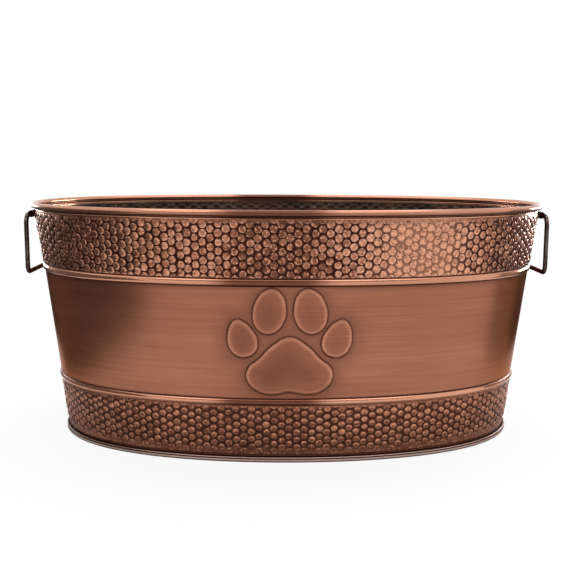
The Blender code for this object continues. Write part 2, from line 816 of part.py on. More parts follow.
def rivet_holes(collection):
    """Make the cylinders that pierce the wall and the ears for the rivets."""
    bm = bmesh.new()
    radius = RIVET_SHANK / 2 + FIT_GAP
    for _, reach, side in rivet_places():
        bmesh.ops.create_cone(
            bm,
            cap_ends=True,
            segments=HOLE_SIDES,
            radius1=radius,
            radius2=radius,
            depth=2 * CUT_OVERRUN,
            matrix=wall_flat(reach, HEIGHT - RIVET_DROP, side),
        )
    mesh = bpy.data.meshes.new("rivet_holes")
    bm.to_mesh(mesh)
    bm.free()
    return as_cutter(add_object("rivet_holes", mesh, collection))


def main():
    """Build the bucket."""
    clear_scene()
    parts = make_collection("log_bucket")
    cutters = make_collection("cutters")
    holes = rivet_holes(cutters)
    relief = paw_slab("paw_relief", 0, HALF_SHEET + RELIEF, 0, cutters)
    recess = paw_slab("paw_recess", -LAYER_STEP, RELIEF - HALF_SHEET, SHEET, cutters)
    front_wall(parts, relief, recess, holes)
    rear_wall(parts)
    base_pan(parts)
    rim_wire(parts)
    for side, hand in ((-1, "left"), (1, "right")):
        ear(hand + "_ear", side, holes, parts)
        handle(hand + "_handle", side, parts)
    for name, reach, side in rivet_places():
        rivet(name, reach, side, parts)


main()
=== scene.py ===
"""Oval log bucket in antique copper sheet, with two hammered bands, an embossed paw and two drop handles."""

import json
import logging
import math
from collections.abc import Callable
from dataclasses import dataclass
from enum import Enum

import bpy
import numpy as np
from mathutils import Matrix, Vector

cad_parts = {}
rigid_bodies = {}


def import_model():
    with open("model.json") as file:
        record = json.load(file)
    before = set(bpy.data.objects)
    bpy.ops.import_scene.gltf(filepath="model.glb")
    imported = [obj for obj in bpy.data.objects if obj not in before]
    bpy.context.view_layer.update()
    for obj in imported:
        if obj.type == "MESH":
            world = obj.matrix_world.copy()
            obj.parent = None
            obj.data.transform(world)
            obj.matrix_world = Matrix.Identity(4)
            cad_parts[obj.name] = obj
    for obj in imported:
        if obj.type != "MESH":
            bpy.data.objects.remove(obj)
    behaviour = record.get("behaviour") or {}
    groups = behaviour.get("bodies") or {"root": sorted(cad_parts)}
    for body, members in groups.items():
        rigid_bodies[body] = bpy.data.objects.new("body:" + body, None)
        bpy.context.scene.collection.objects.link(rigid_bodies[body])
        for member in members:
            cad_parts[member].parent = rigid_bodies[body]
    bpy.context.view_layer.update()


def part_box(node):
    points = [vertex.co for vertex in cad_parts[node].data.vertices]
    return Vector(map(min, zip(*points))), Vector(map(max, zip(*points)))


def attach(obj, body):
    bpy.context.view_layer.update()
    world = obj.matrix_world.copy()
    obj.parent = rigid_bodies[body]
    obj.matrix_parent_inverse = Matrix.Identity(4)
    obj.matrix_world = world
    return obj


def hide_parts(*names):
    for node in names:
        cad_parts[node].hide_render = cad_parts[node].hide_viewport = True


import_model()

MERGE = 0.000002
BLANK_MERGE = 5 * MERGE
RING_COLUMNS = 288
LOG = logging.getLogger("log_bucket")

Colour = tuple[float, float, float, float]
Shares = tuple[float, float, float, float]
Place = tuple[float, float, float]
Lines = tuple[tuple[float, float], ...]
Patches = tuple[tuple[float, float, float], ...]
Profile = list[tuple[float, float]]
Points = np.ndarray
Piece = bpy.types.Object
Material = bpy.types.Material


def tint(red: int, green: int, blue: int) -> Colour:
    """Turn a colour as it looks on a screen into the linear colour that shaders use.

    Args:
        red: its red share, out of 255.
        green: its green share.
        blue: its blue share.

    Returns:
        The linear colour with full alpha.
    """
    shares = [value / 255 for value in (red, green, blue)]
    linear = [share / 12.92 if share <= 0.04045 else ((share + 0.055) / 1.055) ** 2.4 for share in shares]
    return (linear[0], linear[1], linear[2], 1.0)


def ease(values: Points, start: float, end: float) -> Points:
    """Rise smoothly from 0 at start to 1 at end."""
    share = np.clip((values - start) / (end - start), 0, 1)
    return share * share * (3 - 2 * share)


def raised(lines: Lines, height: float) -> Lines:
    """Lift lines, given as a rise and a reach, to stand on a height."""
    return tuple((height + rise, reach) for rise, reach in lines)


class Side(Enum):
    """The two ends of the bucket, seen from the front."""

    LEFT = -1
    RIGHT = 1


class Panel(Enum):
    """The two sheets that make the wall."""

    FRONT = "front_wall"
    REAR = "rear_wall"


def sums(operation: str, swapped: bool = False) -> Callable[["Field", "Field | float"], "Field"]:
    """Make a method that adds one Math node.

    Args:
        operation: what the node does.
        swapped: whether the other value comes first.

    Returns:
        The method.
    """

    def method(value: "Field", other: "Field | float") -> "Field":
        """Add the node."""
        first, second = (other, value) if swapped else (value, other)
        return value.book.node("ShaderNodeMath", {"operation": operation}, {0: first, 1: second})

    return method


@dataclass
class Field:
    """A shader value that can be used in sums."""

    book: "NodeBook"
    socket: bpy.types.NodeSocket

    __add__ = sums("ADD")
    __radd__ = sums("ADD", swapped=True)
    __sub__ = sums("SUBTRACT")
    __rsub__ = sums("SUBTRACT", swapped=True)
    __mul__ = sums("MULTIPLY")
    __rmul__ = sums("MULTIPLY", swapped=True)
    larger = sums("MAXIMUM")
    smaller = sums("MINIMUM")


class NodeBook:
    """The nodes of one material or of the world."""

    def __init__(self, owner: Material | bpy.types.World) -> None:
        """Turn the owner's nodes on.

        Args:
            owner: the material or the world.
        """
        owner.use_nodes = True
        self.owner = owner
        self.tree = owner.node_tree

    def join(self, socket: bpy.types.NodeSocket, value: object) -> None:
        """Link a field to a socket, or write a plain value on it.

        Args:
            socket: the socket to fill.
            value: the field or the plain value.
        """
        if isinstance(value, Field):
            self.tree.links.new(value.socket, socket)
        else:
            socket.default_value = value

    def node(
        self, kind: str, settings: dict | None = None, inputs: dict | None = None, output: int | str = 0
    ) -> Field:
        """Add a node.

        Args:
            kind: the node's type.
            settings: its settings, set before its sockets.
            inputs: the values or links of its sockets, by name or number.
            output: which of its outputs to read.

        Returns:
            The output as a field.
        """
        made = self.tree.nodes.new(kind)
        for key, value in (settings or {}).items():
            setattr(made, key, value)
        for key, value in (inputs or {}).items():
            self.join(made.inputs[key], value)
        return Field(self, made.outputs[output])

    def zero(self) -> Field:
        """Nothing, to add to."""
        return self.node("ShaderNodeMath", None, {0: 0.0, 1: 0.0})

    def place(self) -> Field:
        """The point on the piece."""
        return self.node("ShaderNodeTexCoord", output="Object")

    def axis(self, place: Field, letter: str) -> Field:
        """One coordinate of a point."""
        return self.node("ShaderNodeSeparateXYZ", None, {0: place}, letter)

    def stretched(self, place: Field, shares: Place) -> Field:
        """Scale a point along each axis."""
        return self.node("ShaderNodeMapping", {"vector_type": "POINT"}, {"Vector": place, "Scale": shares})

    def noise(self, place: Field, scale: float, detail: float, roughness: float) -> Field:
        """Soft cloudy noise between 0 and 1."""
        inputs = {"Vector": place, "Scale": scale, "Detail": detail, "Roughness": roughness}
        return self.node("ShaderNodeTexNoise", {"noise_dimensions": "3D"}, inputs, "Fac")

    def span(self, value: Field, low: float, high: float, start: float = 0.0, end: float = 1.0) -> Field:
        """Stretch the part of a value between low and high to run smoothly from start to end."""
        inputs = {"Value": value, "From Min": low, "From Max": high, "To Min": start, "To Max": end}
        return self.node("ShaderNodeMapRange", {"interpolation_type": "SMOOTHSTEP", "clamp": True}, inputs)

    def near(self, value: Field, middle: float, reach: float) -> Field:
        """1 where a value is at the middle, and 0 from a reach on either side."""
        gap = self.node("ShaderNodeMath", {"operation": "ABSOLUTE"}, {0: value - middle})
        return self.span(gap, 0.0, reach, 1.0, 0.0)

    def blend(self, share: Field, first: Field | Colour, second: Colour | Field) -> Field:
        """Cover one colour with a share of another."""
        settings = {"data_type": "RGBA", "blend_type": "MIX", "clamp_factor": True}
        return self.node("ShaderNodeMix", settings, {0: share, 6: first, 7: second}, 2)

    def attribute(self, name: str) -> Field:
        """A number kept on each point of the mesh."""
        return self.node("ShaderNodeAttribute", {"attribute_name": name}, output="Fac")

    def bump(self, height: Field, depth: float, strength: float, **under: Field) -> Field:
        """Turn a height between 0 and 1 into a bumped normal, over another one if given."""
        inputs = {"Height": height, "Distance": depth, "Strength": strength, **under}
        return self.node("ShaderNodeBump", None, inputs)

    def seen(self) -> Field:
        """Whether a ray comes from the camera, or by way of metal or glass.

        Returns:
            1 for such a ray and 0 for any other.
        """
        kinds = ("Is Camera Ray", "Is Glossy Ray", "Is Transmission Ray")
        camera, glossy, through = (self.node("ShaderNodeLightPath", output=kind) for kind in kinds)
        return camera.larger(glossy).larger(through)

    def paint(self, **values: object) -> Material:
        """Set the surface shader's sockets.

        Args:
            values: what each socket gets, with underscores in its name.

        Returns:
            The material.
        """
        for key, value in values.items():
            self.join(self.tree.nodes["Principled BSDF"].inputs[key.replace("_", " ")], value)
        return self.owner


@dataclass(frozen=True)
class AntiqueCopper:
    """Copper-plated sheet, rubbed along its length, with patina left in its hollows.

    A line is a height and how far what lies there reaches. The dark lines at joints and creases are patina
    together with painted shade where one part meets another; the shade lines are painted shade under
    overhangs, and the lines that lighten are painted highlights. A place along the length, with its reach and
    strength, darkens a patch, partly uneven patina and partly painted reflection; where its strength is
    negative it lightens a patch as a painted reflection. Spans are the values where a colour starts to show
    and where it is full. A share is how much one thing counts in a sum, and a cover how strongly a colour
    lies over the others.
    """

    name: str
    bright: Colour = tint(226, 163, 132)
    body: Colour = tint(162, 103, 79)
    shade: Colour = tint(106, 64, 48)
    patina: Colour = tint(60, 25, 15)
    edge: Colour = tint(255, 255, 255)
    patina_and_shade_lines: Lines = ()
    shade_lines: Lines = ()
    bright_lines: Lines = ()
    dim_places: Patches = ()
    roughness: float = 0.30
    rubbing: float = 0.5
    polish: float = 0.0
    tone_share: float = 0.36
    wear_share: float = 0.42
    speckle: float = 0.0
    groove_share: float = 1.0
    coat: float = 0.08
    streak_scale: Place = (7, 7, 900)
    band_scale: Place = (5, 5, 60)
    cloud_scale: float = 9.0
    grain_scale: float = 900.0
    mottle_scale: float = 420.0
    bright_span: tuple[float, float] = (0.2, 0.9)
    streak_span: tuple[float, float] = (0.4, 0.75)
    dull_span: tuple[float, float] = (0.28, -0.28)
    dark_span: tuple[float, float] = (0.05, 0.95)
    cover: float = 0.7
    band_share: float = 0.25
    cloud_share: float = 0.35
    dull_cloud_share: float = 0.6
    patina_and_painted_reflection_share: float = 0.6
    streak_cover: float = 0.4
    dull_cover: float = 0.9
    patina_grain: float = 0.2
    streak_roughness: float = 0.10
    dark_roughness: float = 0.3
    painted_shade_roughness: float = 0.06
    grain_roughness: float = 0.05
    metal: float = 0.97
    dark_metal: float = -0.12
    coat_roughness: float = 0.22
    grain_depth: float = 0.00003
    grain_strength: float = 0.5
    streak_depth: float = 0.00005

    def make(self) -> Material:
        """Mix the copper.

        Returns:
            The material.
        """
        book = NodeBook(bpy.data.materials.new(self.name))
        place = book.place()
        height, length = book.axis(place, "Z"), book.axis(place, "X")
        streaks = book.noise(book.stretched(place, self.streak_scale), 1.0, 4.0, 0.6)
        bands = book.noise(book.stretched(place, self.band_scale), 1.0, 3.0, 0.55)
        clouds = book.noise(place, self.cloud_scale, 3.0, 0.5)
        grain = book.noise(place, self.grain_scale, 2.0, 0.6)
        mottle = book.noise(place, self.mottle_scale, 2.0, 0.6)
        groove, tone, wear, halo = (book.attribute(name) for name in ("groove", "tone", "wear", "halo"))
        lines = dim = book.zero()
        # Painted shade, from the shade lines and from the marks on the points, darkens under the rim, beside
        # the beads and round the paw's pads.
        for level, width in self.shade_lines:
            line = book.near(height, level, width)
            halo = halo.larger(line * line)
        # Dark lines at joints and creases: patina, together with painted shade where one part meets another.
        for level, width in self.patina_and_shade_lines:
            lines = lines.larger(book.near(height, level, width))
        # Patches along the length: darker ones are partly uneven patina and partly painted reflection;
        # lighter ones, with negative strength, are painted reflection.
        for middle, reach, strength in self.dim_places:
            there = book.near(length, middle, reach)
            dim = dim + there * there * (3 - 2 * there) * strength
        # Where a patch is painted lighter, the grooves' patina fades too, as part of the painted reflection.
        dark = (groove * self.groove_share * (1 + dim.smaller(0.0) * self.cover)).larger(lines)
        speck = wear * (mottle - 0.5) * self.speckle
        rubbed = bands * self.band_share + clouds * self.cloud_share + tone * self.tone_share
        rubbed = rubbed + wear * self.wear_share + self.polish
        # Painted highlights: lines lightened toward the bright copper, along the rim's shoulder.
        for level, width in self.bright_lines:
            rubbed = rubbed + book.near(height, level, width)
        bright = book.span(rubbed - dim * self.patina_and_painted_reflection_share, *self.bright_span)
        colour = book.blend(bright, self.body, self.bright)
        streaked = book.span(streaks, *self.streak_span) * (self.rubbing * self.streak_cover)
        colour = book.blend(streaked, colour, self.shade)
        dull = clouds * self.dull_cloud_share + tone * self.tone_share - dim
        colour = book.blend(book.span(dull, *self.dull_span) * self.dull_cover, colour, self.shade)
        colour = book.blend(book.span(speck, 0.0, 1.0) * self.cover, colour, self.bright)
        colour = book.blend(book.span(speck, 0.0, -1.0) * self.cover, colour, self.shade)
        # The painted shade is laid over the colour here.
        colour = book.blend(halo * self.cover, colour, self.shade)
        crusted = book.span(dark + (grain - 0.5) * self.patina_grain, *self.dark_span)
        colour = book.blend(crusted, colour, self.patina)
        roughness = self.roughness + (streaks - 0.5) * self.streak_roughness + dark * self.dark_roughness
        roughness = roughness + halo * self.painted_shade_roughness + (grain - 0.5) * self.grain_roughness
        brushed = book.bump(streaks, self.streak_depth, self.rubbing)
        return book.paint(
            Base_Color=colour,
            Roughness=roughness,
            Metallic=self.metal + dark * self.dark_metal,
            Specular_Tint=self.edge,
            Coat_Weight=self.coat * (1 - dark),
            Coat_Roughness=self.coat_roughness,
            Normal=book.bump(grain, self.grain_depth, self.grain_strength, Normal=brushed),
        )


@dataclass(frozen=True)
class DullCopper:
    """The sheet's inside faces: a darker, duller brown all over."""

    name: str
    body: Colour = tint(92, 66, 54)
    shade: Colour = tint(58, 42, 36)
    roughness: float = 0.5
    cloud_scale: float = 22.0
    grain_scale: float = 700.0
    cloud_span: tuple[float, float] = (0.35, 0.68)
    cloud_roughness: float = 0.2
    grain_roughness: float = 0.06
    metal: float = 0.75
    grain_depth: float = 0.00003
    grain_strength: float = 0.5

    def make(self) -> Material:
        """Mix the copper.

        Returns:
            The material.
        """
        book = NodeBook(bpy.data.materials.new(self.name))
        place = book.place()
        clouds = book.noise(place, self.cloud_scale, 5.0, 0.6)
        grain = book.noise(place, self.grain_scale, 2.0, 0.6)
        roughness = self.roughness + (clouds - 0.5) * self.cloud_roughness
        return book.paint(
            Base_Color=book.blend(book.span(clouds, *self.cloud_span), self.shade, self.body),
            Roughness=roughness + (grain - 0.5) * self.grain_roughness,
            Metallic=self.metal,
            Normal=book.bump(grain, self.grain_depth, self.grain_strength),
        )


@dataclass(frozen=True)
class OiledSteel:
    """Dark oiled steel, worn brighter where hands and metal rub it."""

    name: str
    body: Colour = tint(112, 95, 88)
    worn: Colour = tint(162, 145, 138)
    deep: Colour = tint(66, 53, 47)
    edge: Colour = tint(150, 132, 124)
    roughness: float = 0.36
    cloud_scale: float = 120.0
    patch_scale: float = 38.0
    grain_scale: float = 1400.0
    cloud_span: tuple[float, float] = (0.38, 0.7)
    patch_span: tuple[float, float] = (0.55, 0.75)
    patch_cover: float = 0.45
    cloud_roughness: float = 0.22
    cloud_depth: float = 0.0001
    cloud_strength: float = 0.4
    grain_depth: float = 0.00003
    grain_strength: float = 0.6

    def make(self) -> Material:
        """Mix the steel.

        Returns:
            The material.
        """
        book = NodeBook(bpy.data.materials.new(self.name))
        place = book.place()
        clouds = book.noise(place, self.cloud_scale, 4.0, 0.6)
        patches = book.noise(place, self.patch_scale, 3.0, 0.55)
        grain = book.noise(place, self.grain_scale, 2.0, 0.6)
        colour = book.blend(book.span(clouds, *self.cloud_span), self.deep, self.body)
        worn = book.span(patches, *self.patch_span) * self.patch_cover
        uneven = book.bump(clouds, self.cloud_depth, self.cloud_strength)
        return book.paint(
            Base_Color=book.blend(worn, colour, self.worn),
            Roughness=self.roughness + (clouds - 0.5) * self.cloud_roughness,
            Metallic=1.0,
            Specular_Tint=self.edge,
            Normal=book.bump(grain, self.grain_depth, self.grain_strength, Normal=uneven),
        )


class Bench:
    """The few steps that every piece goes through."""

    @staticmethod
    def focus(*pieces: Piece) -> None:
        """Select only these pieces, the first of them as the active one.

        Args:
            pieces: the pieces, if any.
        """
        bpy.ops.object.select_all(action="DESELECT")
        for piece in pieces:
            piece.select_set(True)
            bpy.context.view_layer.objects.active = pieces[0]

    @staticmethod
    def take(name: str) -> Piece:
        """Name the primitive that was just added and settle its place into its mesh.

        Args:
            name: the piece's name.

        Returns:
            The piece.
        """
        piece = bpy.context.active_object
        piece.name = piece.data.name = name
        bpy.ops.object.transform_apply(location=True, rotation=True, scale=True)
        return piece

    @staticmethod
    def hang(name: str, data: bpy.types.ID) -> Piece:
        """Put new data into the scene.

        Args:
            name: the new object's name.
            data: its mesh, curve, camera or light.

        Returns:
            The object.
        """
        made = bpy.data.objects.new(name, data)
        bpy.context.scene.collection.objects.link(made)
        return made

    @staticmethod
    def read(piece: Piece) -> Points:
        """Read the places of a mesh's points.

        Args:
            piece: the piece.

        Returns:
            The places, one row each.
        """
        places = np.zeros(len(piece.data.vertices) * 3)
        piece.data.vertices.foreach_get("co", places)
        return places.reshape(-1, 3)

    @staticmethod
    def write(piece: Piece, places: Points) -> None:
        """Move a mesh's points."""
        piece.data.vertices.foreach_set("co", np.asarray(places, dtype=np.float32).ravel())
        piece.data.update()

    @staticmethod
    def mark(piece: Piece, name: str, values: Points) -> None:
        """Keep a number on each point of a mesh."""
        layer = piece.data.attributes.new(name, "FLOAT", "POINT")
        layer.data.foreach_set("value", np.asarray(values, dtype=np.float32))

    @staticmethod
    def edit(piece: Piece, action: str = "SELECT") -> None:
        """Open a piece for editing with all or none of it selected.

        Args:
            piece: the piece.
            action: SELECT for all of it, or DESELECT for none.
        """
        Bench.focus(piece)
        bpy.ops.object.mode_set(mode="EDIT")
        bpy.ops.mesh.select_all(action=action)

    @staticmethod
    def close() -> None:
        """Leave editing."""
        bpy.ops.object.mode_set(mode="OBJECT")

    @staticmethod
    def pick(piece: Piece, chosen: Points) -> None:
        """Open a piece for editing with only the chosen points selected.

        Args:
            piece: the piece.
            chosen: whether each point is chosen.
        """
        Bench.edit(piece, "DESELECT")
        Bench.close()
        piece.data.vertices.foreach_set("select", chosen)
        bpy.ops.object.mode_set(mode="EDIT")
        bpy.ops.mesh.select_mode(type="VERT")

    @staticmethod
    def cut(point: Place, across: Place, away: bool = False) -> None:
        """Cut the piece that is open for editing along a plane.

        Args:
            point: a point on the plane.
            across: the direction square to the plane.
            away: whether what lies on that side of the plane goes.
        """
        bpy.ops.mesh.select_all(action="SELECT")
        bpy.ops.mesh.bisect(plane_co=point, plane_no=across, clear_outer=away, threshold=MERGE)

    @staticmethod
    def merge(piece: Piece, outward: bool = False) -> None:
        """Weld points that meet.

        Args:
            piece: the piece.
            outward: whether the faces are turned outward too.
        """
        Bench.edit(piece)
        bpy.ops.mesh.remove_doubles(threshold=MERGE)
        if outward:
            bpy.ops.mesh.normals_make_consistent(inside=False)
        Bench.close()

    @staticmethod
    def apply(piece: Piece, kind: str, **settings: object) -> None:
        """Add a modifier with its settings and apply it.

        Args:
            piece: the piece.
            kind: the modifier's type.
            settings: its settings.
        """
        Bench.focus(piece)
        modifier = piece.modifiers.new(kind.lower(), kind)
        for key, value in settings.items():
            setattr(modifier, key, value)
        bpy.ops.object.modifier_apply(modifier=modifier.name)

    @staticmethod
    def join(*pieces: Piece) -> Piece:
        """Join pieces into the first of them and weld what meets.

        Args:
            pieces: the pieces.

        Returns:
            The first of them, which now holds them all.
        """
        Bench.focus(*pieces)
        bpy.ops.object.join()
        Bench.merge(pieces[0])
        return pieces[0]

    @staticmethod
    def finish(
        piece: Piece, body: str, node: str, slot: str, *materials: Material, crease: float = 50.0
    ) -> None:
        """Smooth a piece, dress it and hang it on its body in place of its plain solid.

        Args:
            piece: the finished mesh.
            body: the body that it moves with.
            node: the plain solid that it stands for.
            slot: not used.
            materials: its material, then that of the faces on its second slot, if any.
            crease: the angle, in degrees, past which an edge stays sharp.
        """
        slots = np.zeros(len(piece.data.polygons), dtype=np.int32)
        piece.data.polygons.foreach_get("material_index", slots)
        piece.data.materials.clear()
        for material in materials:
            piece.data.materials.append(material)
        piece.data.polygons.foreach_set("material_index", np.minimum(slots, len(materials) - 1))
        piece.data.shade_smooth()
        piece.data.set_sharp_from_angle(angle=math.radians(crease))
        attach(piece, body)
        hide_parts(node)
        LOG.info("%s: %d faces", piece.name, len(piece.data.polygons))


@dataclass(frozen=True)
class Ruler:
    """Length along the wall against the angle round the plan; zero is the middle of the front."""

    angles: Points
    lengths: Points

    def angle(self, length: Points | float) -> Points:
        """The angle at a length."""
        return np.interp(length, self.lengths, self.angles)

    def length(self, angle: Points | float) -> Points:
        """The length at an angle."""
        return np.interp(angle, self.angles, self.lengths)

    @property
    def around(self) -> float:
        """The length once round the tub."""
        return float(self.length(math.pi / 2) - self.length(-math.pi * 1.5))


@dataclass(frozen=True)
class TubShape:
    """The oval plan, the sloping wall line and the sheet that all the tub's pieces share."""

    half_length: float
    half_width: float
    height: float
    fullness_share: float = 0.014
    sheet: float = 0.0006
    gap: float = 0.0003
    shoulder_inset: float = 0.0046
    shoulder_drop: float = 0.0073
    foot_inset: float = 0.0307
    seam_height: float = 0.0050
    neck_depth: float = 0.0010
    rim_wire: float = 0.0040
    side_seam_reach: float = 0.0480
    side_seam_joggle: float = 0.0016
    side_seam_lap: float = 0.0100
    front_calm: float = 0.006
    rear_calm: float = 0.018
    samples: int = 6000

    @property
    def layer(self) -> float:
        """The step from one sheet to the next one on it."""
        return self.sheet + self.gap

    @property
    def foot_line(self) -> float:
        """The inset of the wall's middle at its foot."""
        return self.foot_inset + self.sheet / 2

    @property
    def foot_turn(self) -> float:
        """The height where the wall's foot turns up."""
        return self.sheet + self.gap + self.sheet / 2 + self.layer

    @property
    def hook_height(self) -> float:
        """The height where the turned-up foot ends."""
        return self.seam_height - self.sheet / 2 - self.layer

    @property
    def shoulder(self) -> float:
        """The height of the shoulder under the rim."""
        return self.height - self.shoulder_drop

    @property
    def roll_radius(self) -> float:
        """The radius of the rolled sheet's middle."""
        return self.rim_wire / 2 + self.gap + self.sheet / 2

    @property
    def roll_centre(self) -> tuple[float, float]:
        """The inset and height of the rim wire's middle."""
        return self.roll_radius + self.sheet / 2, self.height - self.roll_radius - self.sheet / 2

    def edge(self, angle: Points) -> tuple[Points, Points]:
        """The rim's outer edge.

        Args:
            angle: angles round the plan.

        Returns:
            How far to the right and to the back each point lies.
        """
        share = self.fullness_share
        x = (1 + share) * np.cos(angle) - share * np.cos(3 * angle)
        y = (1 + share) * np.sin(angle) + share * np.sin(3 * angle)
        return self.half_length * x, self.half_width * y

    def normal(self, angle: Points) -> tuple[Points, Points]:
        """The level direction that points out of the edge.

        Args:
            angle: angles round the plan.

        Returns:
            Its shares to the right and to the back.
        """
        share = self.fullness_share
        dx = self.half_length * (3 * share * np.sin(3 * angle) - (1 + share) * np.sin(angle))
        dy = self.half_width * ((1 + share) * np.cos(angle) + 3 * share * np.cos(3 * angle))
        length = np.hypot(dx, dy)
        return dy / length, -dx / length

    def place(self, angle: Points, inset: Points, height: Points) -> Points:
        """Put points inside the rim's edge.

        Args:
            angle: the angle round the plan.
            inset: how far the point lies inside the rim's outer edge.
            height: how high it is.

        Returns:
            The points, one row each.
        """
        angle, inset, height = np.broadcast_arrays(angle, inset, height)
        x, y = self.edge(angle)
        out_x, out_y = self.normal(angle)
        return np.stack((x - out_x * inset, y - out_y * inset, height), axis=-1)

    def outer(self, height: Points) -> Points:
        """The inset of the wall's outer face."""
        rise = (height - self.seam_height) / (self.shoulder - self.seam_height)
        return self.foot_inset + (self.shoulder_inset - self.foot_inset) * rise

    def middle(self, height: Points) -> Points:
        """The inset of the wall's middle."""
        return self.outer(height) + self.sheet / 2

    def ruler(self, inset: float) -> Ruler:
        """Measure from the middle of the front both ways along a curve inside the rim's edge.

        Args:
            inset: how far the curve lies inside the edge.

        Returns:
            The ruler.
        """
        angles = np.linspace(-math.pi * 2.5, math.pi * 1.5, self.samples)
        steps = np.linalg.norm(np.diff(self.place(angles, inset, 0.0), axis=0), axis=1)
        lengths = np.concatenate(([0.0], np.cumsum(steps)))
        return Ruler(angles, lengths - np.interp(-math.pi / 2, angles, lengths))

    def wrap(self, flat: Points, ruler: Ruler) -> Points:
        """Roll a flat blank round the tub.

        Args:
            flat: length along the blank, height, and how far each point stands off the wall line.
            ruler: the ruler at the blank's middle height.

        Returns:
            The points on the tub.
        """
        return self.place(ruler.angle(flat[:, 0]), self.outer(flat[:, 1]) - flat[:, 2], flat[:, 1])

    def reach_angle(self, reach: float) -> float:
        """The angle near the right-hand end where the shoulder is this far behind the middle."""
        angles = np.linspace(0, math.pi / 2, self.samples)
        return float(np.interp(reach, self.place(angles, self.shoulder_inset, 0.0)[:, 1], angles))

    def seam_angles(self) -> tuple[float, float, float]:
        """Find the side seam near the right-hand end.

        Returns:
            The angles where its joggle starts, where it ends, and where the lap ends.
        """
        start = self.reach_angle(self.side_seam_reach)
        ruler = self.ruler(self.shoulder_inset)
        length = ruler.length(start)
        step = float(ruler.angle(length + self.side_seam_joggle))
        end = float(ruler.angle(length + self.side_seam_joggle + self.side_seam_lap))
        return start, step, end

    def span(self, panel: Panel, ruler: Ruler) -> "Span":
        """Where a panel's blank starts and ends on a ruler.

        Args:
            panel: the panel.
            ruler: the ruler.

        Returns:
            The span.
        """
        start, step, end = (float(ruler.length(angle)) for angle in self.seam_angles())
        if panel is Panel.FRONT:
            return Span(-end, end, 0.0, start - self.front_calm, start, step, self.layer)
        middle = float(ruler.length(math.pi / 2))
        half = middle - step
        calm = half - self.rear_calm
        return Span(middle - half, middle + half, middle, calm, half, half + self.layer, 0.0)


@dataclass(frozen=True)
class Span:
    """Where a panel's blank starts and ends on its ruler, and how its side seams lie."""

    low: float
    high: float
    middle: float
    plain_from: float
    lap_from: float
    lap_to: float
    lap_rise: float
    calm_width: float = 0.003

    def seam_lift(self, length: Points) -> Points:
        """How far the laps stand off, over the other panel."""
        return self.lap_rise * ease(np.abs(length - self.middle), self.lap_from, self.lap_to)

    def away_from_seam(self, length: Points) -> Points:
        """Fade to 0 where the blank is pressed flat for its side seams."""
        return 1 - ease(np.abs(length - self.middle), self.plain_from, self.plain_from + self.calm_width)


